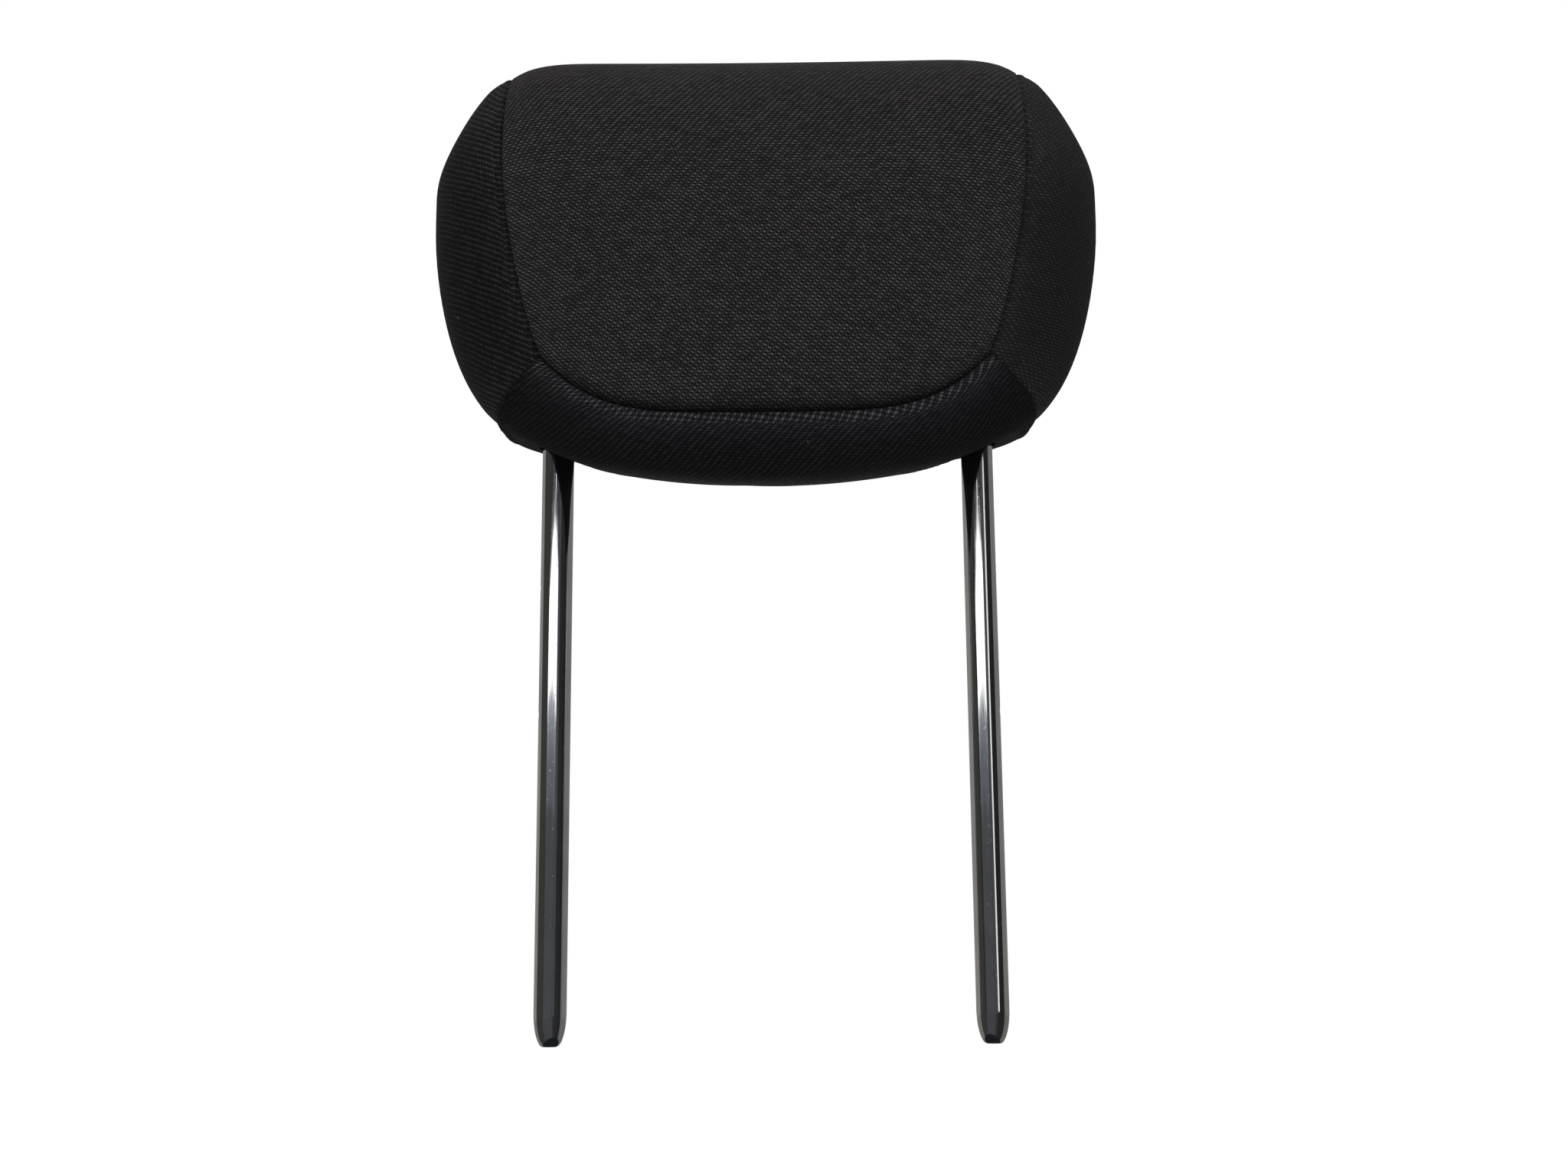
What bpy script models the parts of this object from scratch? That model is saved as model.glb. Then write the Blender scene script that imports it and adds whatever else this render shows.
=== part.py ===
"""Car headrest: a fabric cushion carried by one bent steel bar with two straight posts.

Metres, +Z up. The posts stand along Z, the front of the cushion faces -Y and the
origin lies midway between the two post tips. From the inside out the headrest has
the steel bar, a moulded plastic core of two halves that are screwed round the bar,
a moulded foam pad, and a sewn cover of four padded panels that closes along the
lower back edge with two hooked strips. A plastic bezel lines each hole that a post
passes through.
"""
import bpy
import bmesh
from math import cos, hypot, pi, radians, sin
from mathutils import Matrix, Vector

# Steel bar
POST_SPACING = 0.160
BAR_DIAMETER = 0.012
BAR_BEND_RADIUS = 0.030
BAR_SIDES = 24
BEND_STEPS = 7
TIP_LENGTH = 0.012
TIP_FLAT_DIAMETER = 0.0058
TIP_STEPS = 4
TIP_BULGE = 2.2
TIP_BLUNTNESS = 0.8
TIP_CROWDING = 1.25
NOTCH_DEPTH = 0.0017
NOTCH_HEIGHT = 0.0045
NOTCH_SLOPE = 0.55
NOTCH_TURN = radians(27)
LOCK_NOTCH_HEIGHT = 0.1213
STOP_NOTCH_HEIGHT = 0.1693

# Cushion
CUSHION_WIDTH = 0.255
CUSHION_BOTTOM = 0.2014
CUSHION_HEIGHT = 0.177
MIDDLE_FULLEST_RISE = 0.0834
EDGE_FULLEST_RISE = 0.1186
FRONT_REACH = 0.0535
BACK_REACH = 0.045
CUSHION_AXIS_Y = 0.002
UNDERSIDE_SLOPE = 0.28
UNDERSIDE_LOW_Y = -0.025

# Roundness of the side view, as superellipse exponents for its four quarters
SIDE_VIEW_ROUNDNESS = {"top_front": 2.05, "top_back": 2.4, "low_front": 4.0, "low_back": 3.2}
# Roundness across the width, as exponents at the middle, towards the sides and at their ends
ACROSS_TOP = (14.7, 2.7, 2.25)
ACROSS_LEVEL = (3.3, 2.6, 2.6)
ACROSS_BELOW = (2.16, 2.8, 2.25)
SIDE_END_POWER = 12

# Cover
COVER_THICKNESS = 0.0040
SEAM_PINCH = 0.0022
SEAM_PINCH_REACH = 0.010
SEAM_GAP = 0.0003
STRAP_CORNER_HALF_WIDTH = 0.0825
STRAP_TOP_HALF_WIDTH = 0.0992
STRAP_WIDENING_HEIGHT = 0.095
STRAP_WIDENING_POWER = 2.3
CORNER_RISE = 0.0428
MITRE_SLOPE = 0.85
FRONT_SEAM_RISE = 0.0202
REAR_SEAM_RISE = 0.0371
SEAM_CORNER_POWER = 4.2

# Clearances between pieces
CLEARANCE = 0.0003
PAD_CLEARANCE = 0.0009
PAD_POST_RELIEF = 0.0025
PAD_POST_RELIEF_RADIUS = 0.026
PAD_POST_RELIEF_BLEND = 0.010
CUT_MARGIN = 0.004

# Post bezels
BEZEL_SEAT_RISE = 0.0226
BEZEL_SEAT_MARGIN = 0.0015
BEZEL_SEAT_BLEND = 0.012
BEZEL_SEAT_PRESS = 0.0006
BEZEL_FLANGE_WIDTH = 0.0052
BEZEL_FLANGE_THICKNESS = 0.0016
BEZEL_SLEEVE_WALL = 0.0017
BEZEL_SLEEVE_LENGTH = 0.0125
BEZEL_BARB = 0.0010
BEZEL_EDGE_ROUND = 0.0008

# Plastic core
CORE_BESIDE_POST = 0.009
CORE_OVER_BEZEL = 0.0032
PAD_OVER_CORE = 0.0164
CORE_OVER_BAR = 0.024
CORE_HALF_DEPTH = 0.016
CORE_CORNER_RADIUS = 0.030
CORE_FOOT_RADIUS = 0.006
CORE_WALL = 0.0028
CORE_EDGE_ROUND = 0.0025
CORE_SIDE_LAND = 0.013
RIB_THICKNESS = 0.0026
SCREW_LAND = 0.010
SCREW_COLUMN_X = 0.035
CELL_ROWS = 3
CELLS_UNDER_BAR = 0.022

# Fasteners
LOWER_SCREW_OVER_FOOT = 0.022
UPPER_SCREW_UNDER_BAR = 0.038
CORE_SCREW_HEAD_RADIUS = 0.0040
CORE_SCREW_HEAD_HEIGHT = 0.0026
CORE_SCREW_SHANK_RADIUS = 0.0019
CORE_SCREW_LENGTH = 0.0210
CORE_SCREW_SINK = 0.0042
CLAMP_SCREW_HEAD_RADIUS = 0.0034
CLAMP_SCREW_HEAD_HEIGHT = 0.0022
CLAMP_SCREW_SHANK_RADIUS = 0.0017
CLAMP_SCREW_LENGTH = 0.0110
SCREW_RECESS_WIDTH = 0.45
SCREW_RECESS_DEPTH = 0.55
SCREW_DOME = 0.45
SCREW_DOME_SHOULDER = (0.72, 0.35)

# Bar clamps
CLAMP_X = 0.028
CLAMP_WIDTH = 0.014
CLAMP_THICKNESS = 0.0015
CLAMP_EAR = 0.0090

# Closing strips at the lower back edge
STRIP_HALF_LENGTH = 0.060
STRIP_LEG = 0.012
STRIP_SHEET = 0.0012
STRIP_HOOK = 0.0052
STRIP_FOLD = 0.0030
STRIP_LIP = 0.0045
STRIP_CLEARANCE = 0.0007

# Mesh density
STRAP_ROWS = 30
STRAP_COLUMNS = 16
CROWDING = 1.1
SIDE_RINGS = 6
UNDER_ROWS = 13
UNDER_COLUMNS = 26
PAD_SLICES = 23
STRIP_STATIONS = 9
STRIP_STEP = 0.004
RING_CROWDING = 1.2
RING_ROUNDING = 2.4
EDGE_STEP = 0.35
FINE_STEPS = 400
NORMAL_STEP = 0.0004
ANGLE_STEP = 0.004
SCREW_SIDES = 10
BEZEL_SIDES = 20
CHANNEL_SIDES = 16
HOLE_SIDES = 16
ROUND_CUT_SIDES = 32
CLAMP_ARC_STEPS = 8
CORE_TOP_STEPS = 6
CORE_FOOT_STEPS = 3

BAR_RADIUS = BAR_DIAMETER / 2
POST_X = POST_SPACING / 2
HALF_WIDTH = CUSHION_WIDTH / 2
CUSHION_TOP = CUSHION_BOTTOM + CUSHION_HEIGHT
MIDDLE_FULLEST_HEIGHT = CUSHION_BOTTOM + MIDDLE_FULLEST_RISE
EDGE_FULLEST_HEIGHT = CUSHION_BOTTOM + EDGE_FULLEST_RISE
CORNER_HEIGHT = CUSHION_BOTTOM + CORNER_RISE
BEZEL_SEAT_HEIGHT = CUSHION_BOTTOM + BEZEL_SEAT_RISE
BEZEL_FLANGE_RADIUS = BAR_RADIUS + CLEARANCE + BEZEL_FLANGE_WIDTH
BEZEL_SEAT_RADIUS = BEZEL_FLANGE_RADIUS + BEZEL_SEAT_MARGIN
BEZEL_FLANGE_TOP = BEZEL_SEAT_HEIGHT + BEZEL_SEAT_PRESS - CLEARANCE
BEZEL_TOP = BEZEL_FLANGE_TOP + BEZEL_SLEEVE_LENGTH
CORE_WIDTH = POST_SPACING + 2 * CORE_BESIDE_POST
CORE_BOTTOM = BEZEL_TOP + CORE_OVER_BEZEL
CORE_TOP = CUSHION_TOP - PAD_OVER_CORE
BAR_TOP = CORE_TOP - CORE_OVER_BAR
CELL_TOP = BAR_TOP - CELLS_UNDER_BAR
SEAM_SEARCH_END = 0.47 * pi
TURN = 2 * pi

MATERIALS = {
    "chrome": ((0.56, 0.56, 0.57), 1.0, 0.10),
    "seat_fabric": ((0.021, 0.020, 0.022), 0.0, 0.92),
    "side_fabric": ((0.011, 0.011, 0.0115), 0.0, 0.95),
    "foam": ((0.62, 0.56, 0.38), 0.0, 0.95),
    "core_plastic": ((0.035, 0.036, 0.038), 0.0, 0.55),
    "bezel_plastic": ((0.013, 0.013, 0.014), 0.0, 0.42),
    "strip_plastic": ((0.045, 0.045, 0.046), 0.0, 0.50),
    "zinc_steel": ((0.42, 0.42, 0.43), 1.0, 0.35),
}


# Scene and material helpers

def clear_scene():
    for item in list(bpy.data.objects):
        bpy.data.objects.remove(item, do_unlink=True)


def new_collection(name):
    collection = bpy.data.collections.new(name)
    bpy.context.scene.collection.children.link(collection)
    return collection


def make_material(name):
    colour, metallic, roughness = MATERIALS[name]
    material = bpy.data.materials.new(name)
    material.use_nodes = True
    shader = material.node_tree.nodes["Principled BSDF"]
    shader.inputs["Base Color"].default_value = (*colour, 1.0)
    shader.inputs["Metallic"].default_value = metallic
    shader.inputs["Roughness"].default_value = roughness
    material.diffuse_color = (*colour, 1.0)
    return material


def mesh_object(name, points, faces, collection, material=None):
    mesh = bpy.data.meshes.new(name)
    mesh.from_pydata([tuple(point) for point in points], [], faces)
    item = bpy.data.objects.new(name, mesh)
    collection.objects.link(item)
    if material:
        mesh.materials.append(material)
    return item


def face_outwards(item):
    work = bmesh.new()
    work.from_mesh(item.data)
    bmesh.ops.recalc_face_normals(work, faces=work.faces)
    work.to_mesh(item.data)
    work.free()


def shade(item, angle=radians(35)):
    item.data.shade_smooth()
    item.data.set_sharp_from_angle(angle=angle)


def as_mesh(curve_item, collection, material=None):
    """Turn a curve object into a mesh object with its caps welded."""
    name = curve_item.name
    graph = bpy.context.evaluated_depsgraph_get()
    mesh = bpy.data.meshes.new_from_object(curve_item.evaluated_get(graph))
    work = bmesh.new()
    work.from_mesh(mesh)
    bmesh.ops.remove_doubles(work, verts=work.verts, dist=1e-6)
    bmesh.ops.recalc_face_normals(work, faces=work.faces)
    work.to_mesh(mesh)
    work.free()
    place = curve_item.matrix_world.copy()
    bpy.data.objects.remove(curve_item, do_unlink=True)
    item = bpy.data.objects.new(name, mesh)
    item.matrix_world = place
    collection.objects.link(item)
    mesh.materials.clear()
    if material:
        mesh.materials.append(material)
    return item


def hide_cutter(item):
    item.hide_render = True
    item.display_type = "WIRE"
    return item


def cut(item, cutter):
    modifier = item.modifiers.new("cut_" + cutter.name, "BOOLEAN")
    modifier.operation = "DIFFERENCE"
    modifier.solver = "EXACT"
    modifier.object = cutter


def box_cutter(name, low, high):
    """An axis-aligned box between two corners, for cutting."""
    bpy.ops.mesh.primitive_cube_add(size=1.0)
    item = bpy.context.active_object
    item.name = name
    size = [b - a for a, b in zip(low, high)]
    middle = [(a + b) / 2 for a, b in zip(low, high)]
    item.data.transform(Matrix.Diagonal((*size, 1.0)))
    item.location = middle
    move_to(item, CUTTERS)
    return hide_cutter(item)


def cylinder_cutter(name, radius, start, end, sides=ROUND_CUT_SIDES):
    """A round cutter between two points on one axis."""
    start, end = Vector(start), Vector(end)
    bpy.ops.mesh.primitive_cylinder_add(vertices=sides, radius=radius, depth=(end - start).length)
    item = bpy.context.active_object
    item.name = name
    item.location = (start + end) / 2
    item.rotation_euler = (end - start).to_track_quat("Z", "Y").to_euler()
    move_to(item, CUTTERS)
    return hide_cutter(item)


def move_to(item, collection):
    for owner in list(item.users_collection):
        owner.objects.unlink(item)
    collection.objects.link(item)


def turned(name, profile, sides, material, ring=False):
    """A turned solid round Z: the profile runs from the top down its outer side.

    A ring's profile is a closed loop, any other starts and ends on the axis.
    """
    points = [(radius, 0.0, height) for radius, height in profile]
    edges = [(i, i + 1) for i in range(len(points) - 1)]
    if ring:
        edges.append((len(points) - 1, 0))
    mesh = bpy.data.meshes.new(name)
    mesh.from_pydata(points, edges, [])
    item = bpy.data.objects.new(name, mesh)
    PARTS.objects.link(item)
    mesh.materials.append(material)
    screw = item.modifiers.new("turn", "SCREW")
    screw.axis = "Z"
    screw.angle = TURN
    screw.steps = sides
    screw.render_steps = sides
    screw.use_merge_vertices = True
    screw.merge_threshold = 1e-5
    screw.use_smooth_shade = True
    return item


def loft(name, rings, collection, material=None):
    """Join closed rings of equal count into one solid with flat ends."""
    points = [point for ring in rings for point in ring]
    count = len(rings[0])
    faces = []
    for r in range(len(rings) - 1):
        for c in range(count):
            a, b = r * count + c, r * count + (c + 1) % count
            faces.append((a, b, b + count, a + count))
    faces.append(tuple(range(count)))
    faces.append(tuple(range(len(points) - count, len(points))))
    item = mesh_object(name, points, faces, collection, material)
    face_outwards(item)
    return item


# Form of the cushion

def smooth_step(value):
    value = min(max(value, 0.0), 1.0)
    return value * value * (3 - 2 * value)


def signed_power(value, power):
    return abs(value) ** power if value >= 0 else -(abs(value) ** power)


def across_exponent(ca, sa, share):
    """Roundness across the width for one direction of the side view."""
    weights = ((ca * ca, ACROSS_LEVEL), (max(sa, 0) ** 2, ACROSS_TOP), (max(-sa, 0) ** 2, ACROSS_BELOW))
    outwards = 1 - (1 - share * share) ** 2
    at_end = share ** SIDE_END_POWER
    return sum(weight * (middle + (side - middle) * outwards + (end - side) * at_end)
               for weight, (middle, side, end) in weights)


def body_point(angle, x):
    """Point on the cushion's outer form.

    The angle goes round the side view: 0 is the front, a quarter turn the top,
    half a turn the back and three quarters the underside.
    """
    ca, sa = cos(angle), sin(angle)
    level = "top_" if sa >= 0 else "low_"
    exponent = SIDE_VIEW_ROUNDNESS[level + ("front" if ca >= 0 else "back")]
    reach = FRONT_REACH if ca >= 0 else BACK_REACH
    share = min(abs(x) / HALF_WIDTH, 1.0)
    fullest = MIDDLE_FULLEST_HEIGHT + (EDGE_FULLEST_HEIGHT - MIDDLE_FULLEST_HEIGHT) * share * share
    rise = CUSHION_TOP - fullest if sa >= 0 else fullest - CUSHION_BOTTOM
    across = across_exponent(ca, sa, share)
    fullness = max(1 - share ** across, 0.0) ** (1 / across)
    y = CUSHION_AXIS_Y - fullness * reach * signed_power(ca, 2 / exponent)
    z = fullest + fullness * rise * signed_power(sa, 2 / exponent)
    below = min(max((fullest - z) / (fullest - CUSHION_BOTTOM), 0.0), 1.0) ** 2
    z += UNDERSIDE_SLOPE * (y - UNDERSIDE_LOW_Y) * below
    if sa < 0:
        from_post = hypot(abs(x) - POST_X, y)
        keep = smooth_step((from_post - BEZEL_SEAT_RADIUS) / BEZEL_SEAT_BLEND)
        z = BEZEL_SEAT_HEIGHT + (z - BEZEL_SEAT_HEIGHT) * keep
    return Vector((x, y, z))


def body_normal(angle, x):
    """Outward direction of the cushion's form, by small differences."""
    limit = HALF_WIDTH - 2 * NORMAL_STEP
    x = max(min(x, limit), -limit)
    along = body_point(angle + ANGLE_STEP, x) - body_point(angle - ANGLE_STEP, x)
    across = body_point(angle, x + NORMAL_STEP) - body_point(angle, x - NORMAL_STEP)
    return across.cross(along).normalized()


def inset_point(angle, x, depth):
    return body_point(angle, x) - body_normal(angle, x) * depth


def find_root(function, low, high, rounds=40):
    """Where the function changes sign between low and high."""
    start = function(low)
    for _ in range(rounds):
        middle = (low + high) / 2
        if (function(middle) > 0) == (start > 0):
            low = middle
        else:
            high = middle
    return (low + high) / 2


def even_angles(start, end, count, x, inset=0.0):
    """Angles that divide the side view between two angles into equal lengths."""
    fine = [start + (end - start) * i / FINE_STEPS for i in range(FINE_STEPS + 1)]
    points = [body_point(angle, x) for angle in fine]
    lengths = [0.0]
    for before, after in zip(points, points[1:]):
        lengths.append(lengths[-1] + (after - before).length)
    wanted = edge_spacing(lengths[-1], count, inset)
    angles, k = [], 0
    for length in wanted:
        while k < FINE_STEPS - 1 and lengths[k + 1] < length:
            k += 1
        span = max(lengths[k + 1] - lengths[k], 1e-12)
        part = min(max((length - lengths[k]) / span, 0.0), 1.0)
        angles.append(fine[k] + (fine[k + 1] - fine[k]) * part)
    return angles


def edge_spacing(length, count, inset):
    """Places along a length: even, or with two closer steps at each end."""
    if not inset:
        return [length * i / (count - 1) for i in range(count)]
    near = [0.0, inset * EDGE_STEP, inset]
    inner = count - 2 * len(near)
    middle = [inset + (length - 2 * inset) * (i + 1) / (inner + 1) for i in range(inner)]
    return near + middle + [length - place for place in reversed(near)]


# Seam lines of the cover

def strap_half_width(angle):
    """Half width of the centre panel, which narrows towards its lower corners."""
    height = body_point(angle, STRAP_CORNER_HALF_WIDTH).z
    rise = min(max((height - CORNER_HEIGHT) / STRAP_WIDENING_HEIGHT, 0.0), 1.0)
    widening = 1 - (1 - rise) ** STRAP_WIDENING_POWER
    return STRAP_CORNER_HALF_WIDTH + (STRAP_TOP_HALF_WIDTH - STRAP_CORNER_HALF_WIDTH) * widening


def above_mitre(point):
    """Height of a point over the seam that parts the side panels from the bottom panel."""
    fall = MITRE_SLOPE * (abs(point.x) - STRAP_CORNER_HALF_WIDTH)
    return point.z - (CORNER_HEIGHT - fall)


def corner_angle(back):
    """Angle of a lower corner of the centre panel, at the front or the back."""
    low, high = (pi, 1.5 * pi) if back else (0.0, -0.5 * pi)
    return find_root(lambda a: above_mitre(body_point(a, strap_half_width(a))), low, high)


FRONT_CORNER = corner_angle(back=False)
BACK_CORNER = corner_angle(back=True)
FRONT_CORNER_X = strap_half_width(FRONT_CORNER)
BACK_CORNER_X = strap_half_width(BACK_CORNER)


def seam_angle(x, back, shift=0.0):
    """Angle at which the centre panel's lower edge lies, at one place across."""
    corner, corner_x = (BACK_CORNER, BACK_CORNER_X) if back else (FRONT_CORNER, FRONT_CORNER_X)
    middle_height = CUSHION_BOTTOM + (REAR_SEAM_RISE if back else FRONT_SEAM_RISE)
    corner_height = body_point(corner, corner_x).z
    share = min(abs(x) / corner_x, 1.0) ** SEAM_CORNER_POWER
    height = middle_height + (corner_height - middle_height) * share + shift
    low, high = (pi, pi + SEAM_SEARCH_END) if back else (0.0, -SEAM_SEARCH_END)
    return find_root(lambda a: body_point(a, x).z - height, low, high)


def mitre_x(angle, shift):
    """Half width at which the bottom panel meets the side panels."""
    return find_root(lambda x: above_mitre(body_point(angle, x)) - shift, 0.0, HALF_WIDTH * 0.9999)


def shares_along(start, end, count):
    """Even places between two angles at mid width, as shares of the way."""
    angles = even_angles(start, end, count, 0.0, SEAM_PINCH_REACH)
    return [(angle - start) / (end - start) for angle in angles]


STRAP_SHARES = shares_along(seam_angle(0.0, False), seam_angle(0.0, True), STRAP_ROWS)
UNDER_SHARES = shares_along(seam_angle(0.0, False), seam_angle(0.0, True) - TURN, UNDER_ROWS)


def strap_edge_angle(down):
    """Angle on a side seam, a share of the way from the front corner to the back corner."""
    return FRONT_CORNER + (BACK_CORNER - FRONT_CORNER) * down


def mitre_angle(down):
    """Angle on a mitre seam, a share of the way from the front corner to the back corner."""
    return FRONT_CORNER + (BACK_CORNER - TURN - FRONT_CORNER) * down


# Padded cover panels

def pinch(distance):
    """How far the cover's outside dips towards a seam."""
    return SEAM_PINCH * (1 - smooth_step(distance / SEAM_PINCH_REACH))


def running_length(points):
    lengths = [0.0]
    for before, after in zip(points, points[1:]):
        lengths.append(lengths[-1] + (after - before).length)
    return lengths


def edge_distances(grid):
    """Shortest way along rows and columns from each grid point to an edge."""
    rows, columns = len(grid), len(grid[0])
    nearest = [[1.0] * columns for _ in range(rows)]
    for r in range(rows):
        lengths = running_length(grid[r])
        for c in range(columns):
            nearest[r][c] = min(nearest[r][c], lengths[c], lengths[-1] - lengths[c])
    for c in range(columns):
        lengths = running_length([grid[r][c] for r in range(rows)])
        for r in range(rows):
            nearest[r][c] = min(nearest[r][c], lengths[r], lengths[-1] - lengths[r])
    return nearest


def padded_grid(name, places, material):
    """A padded panel over a grid of (angle, x) places, pinched thin along its edges."""
    rows, columns = len(places), len(places[0])
    surface = [[body_point(*place) for place in row] for row in places]
    nearest = edge_distances(surface)
    outside, inside = [], []
    for r in range(rows):
        for c in range(columns):
            normal = body_normal(*places[r][c])
            outside.append(surface[r][c] - normal * pinch(nearest[r][c]))
            inside.append(surface[r][c] - normal * COVER_THICKNESS)
    faces = []
    shift = rows * columns
    for r in range(rows - 1):
        for c in range(columns - 1):
            a = r * columns + c
            quad = (a, a + 1, a + 1 + columns, a + columns)
            faces.append(quad)
            faces.append(tuple(shift + i for i in reversed(quad)))
    rim = [c for c in range(columns)]
    rim += [r * columns + columns - 1 for r in range(1, rows)]
    rim += [(rows - 1) * columns + c for c in range(columns - 2, -1, -1)]
    rim += [r * columns for r in range(rows - 2, 0, -1)]
    for a, b in zip(rim, rim[1:] + rim[:1]):
        faces.append((b, a, a + shift, b + shift))
    item = mesh_object(name, outside + inside, faces, PARTS, material)
    face_outwards(item)
    shade(item)
    return item


def centre_panel(material):
    """One strap from the front seam over the top and down the back."""
    half_gap = SEAM_GAP / 2
    across = spread_shares(STRAP_COLUMNS)
    places = []
    for down in STRAP_SHARES:
        width = strap_half_width(strap_edge_angle(down)) - half_gap
        row = []
        for share in across:
            x = share * width
            start = seam_angle(min(abs(x), FRONT_CORNER_X), False, half_gap)
            end = seam_angle(min(abs(x), BACK_CORNER_X), True, half_gap)
            row.append((start + (end - start) * down, x))
        places.append(row)
    return padded_grid("cover_centre_panel", places, material)


def spread_shares(count):
    """Places across a panel from -1 to 1, closer together where the form curves most."""
    reach = SEAM_PINCH_REACH / STRAP_TOP_HALF_WIDTH
    edge = [1.0, 1 - EDGE_STEP * reach]
    inner = count - 2 * len(edge)
    middle = []
    for i in range(inner):
        turn = CROWDING * (2 * i / (inner - 1) - 1)
        middle.append((1 - reach) * sin(turn) / sin(CROWDING))
    return [-share for share in edge] + middle + list(reversed(edge))


def bottom_panel(material):
    """The band under the cushion, from the front seam to the lower back seam."""
    half_gap = SEAM_GAP / 2
    across = spread_shares(UNDER_COLUMNS)
    places = []
    for down in UNDER_SHARES:
        limit = mitre_x(mitre_angle(down), -half_gap)
        row = []
        for share in across:
            x = share * limit
            start = seam_angle(min(abs(x), FRONT_CORNER_X), False, -half_gap)
            end = seam_angle(min(abs(x), BACK_CORNER_X), True, -half_gap) - TURN
            row.append((start + (end - start) * down, x))
        places.append(row)
    panel = padded_grid("cover_bottom_panel", places, material)
    hole_radius = BAR_RADIUS + CLEARANCE + BEZEL_SLEEVE_WALL + CLEARANCE
    for side, label in ((-1, "left"), (1, "right")):
        x = side * POST_X
        low, high = CUSHION_BOTTOM - CUT_MARGIN, CORE_BOTTOM - CUT_MARGIN
        cut(panel, cylinder_cutter("post_hole_" + label, hole_radius, (x, 0, low), (x, 0, high)))
        seat = BEZEL_SEAT_HEIGHT + BEZEL_SEAT_PRESS
        cut(panel, cylinder_cutter("bezel_seat_" + label, BEZEL_FLANGE_RADIUS + CLEARANCE,
                                   (x, 0, low), (x, 0, seat)))
    return panel


def side_loop(side):
    """Places round the edge of a side panel: the strap seam, then the mitre seam."""
    half_gap = SEAM_GAP / 2
    loop = []
    for down in STRAP_SHARES:
        angle = strap_edge_angle(down)
        loop.append((angle, side * (strap_half_width(angle) + half_gap)))
    for down in UNDER_SHARES[-2:0:-1]:
        angle = mitre_angle(down)
        loop.append((angle, side * mitre_x(angle, half_gap)))
    return loop


def side_panel(name, side, material):
    """The rounded end of the cushion, from its seams out to the side."""
    loop = side_loop(side)
    count = len(loop)
    rings = []
    for ring in range(SIDE_RINGS):
        inward = (ring / SIDE_RINGS) ** RING_CROWDING
        out = 1 - (1 - inward) ** RING_ROUNDING
        places = [(angle, x + (side * HALF_WIDTH - x) * out) for angle, x in loop]
        rings.append(places)
    surface = [[body_point(*place) for place in ring] for ring in rings]
    outside, inside = [], []
    for r in range(SIDE_RINGS):
        for c in range(count):
            way = running_length([surface[k][c] for k in range(r + 1)])[-1]
            normal = body_normal(*rings[r][c])
            outside.append(surface[r][c] - normal * pinch(way))
            inside.append(surface[r][c] - normal * COVER_THICKNESS)
    tip = Vector((side * HALF_WIDTH, *body_point(0.0, HALF_WIDTH).yz))
    outside.append(tip)
    inside.append(tip - Vector((side * COVER_THICKNESS, 0, 0)))
    shift = len(outside)
    faces = []
    for c in range(count):
        d = (c + 1) % count
        for r in range(SIDE_RINGS - 1):
            quad = (r * count + c, r * count + d, (r + 1) * count + d, (r + 1) * count + c)
            faces.append(quad)
            faces.append(tuple(shift + i for i in reversed(quad)))
        last = (SIDE_RINGS - 1) * count
        fan = (last + c, last + d, shift - 1)
        faces.append(fan)
        faces.append(tuple(shift + i for i in reversed(fan)))
        faces.append((d, c, c + shift, d + shift))
    item = mesh_object(name, outside + inside, faces, PARTS, material)
    face_outwards(item)
    shade(item)
    return item


# Foam pad

def seam_stations(x):
    """Angles all round the side view, placed like the rows of the cover panels."""
    x = abs(x)
    front = seam_angle(min(x, FRONT_CORNER_X), False)
    back = seam_angle(min(x, BACK_CORNER_X), True)
    over = [front + (back - front) * share for share in STRAP_SHARES[:-1]]
    under = [front + (back - TURN - front) * share for share in reversed(UNDER_SHARES[1:])]
    return over + under


def pad_depth(point):
    """How far the foam lies under the cover's outside, more round the posts."""
    from_post = hypot(abs(point.x) - POST_X, point.y)
    near = 1 - smooth_step((from_post - PAD_POST_RELIEF_RADIUS) / PAD_POST_RELIEF_BLEND)
    if point.z > MIDDLE_FULLEST_HEIGHT:
        near = 0.0
    return COVER_THICKNESS + PAD_CLEARANCE + PAD_POST_RELIEF * near


def foam_pad(material):
    """Moulded foam under the cover, with a deep slot from below for the core."""
    reach = HALF_WIDTH - COVER_THICKNESS - PAD_CLEARANCE
    rings = []
    for i in range(1, PAD_SLICES):
        x = reach * sin(pi * (i / PAD_SLICES - 0.5))
        rings.append([inset_point(a, x, pad_depth(body_point(a, x))) for a in seam_stations(x)])
    count = len(rings[0])
    points = [point for ring in rings for point in ring]
    middle = body_point(0.0, HALF_WIDTH)
    points.append(Vector((-reach, middle.y, middle.z)))
    points.append(Vector((reach, middle.y, middle.z)))
    faces = []
    for r in range(len(rings) - 1):
        for c in range(count):
            a, b = r * count + c, r * count + (c + 1) % count
            faces.append((a, b, b + count, a + count))
    last = (len(rings) - 1) * count
    for c in range(count):
        d = (c + 1) % count
        faces.append((c, d, len(points) - 2))
        faces.append((last + d, last + c, len(points) - 1))
    pad = mesh_object("foam_pad", points, faces, PARTS, material)
    face_outwards(pad)
    shade(pad)
    side = CORE_WIDTH / 2 + PAD_CLEARANCE
    front = CORE_HALF_DEPTH + PAD_CLEARANCE
    low = (-side, -front, CUSHION_BOTTOM - CUT_MARGIN)
    high = (side, front, CORE_TOP + PAD_CLEARANCE)
    cut(pad, box_cutter("core_slot", low, high))
    cut(pad, strip_solid("strip_channel", channel_outline(), PAD_CLEARANCE, CUTTERS))
    return pad


# Closing strips

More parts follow.
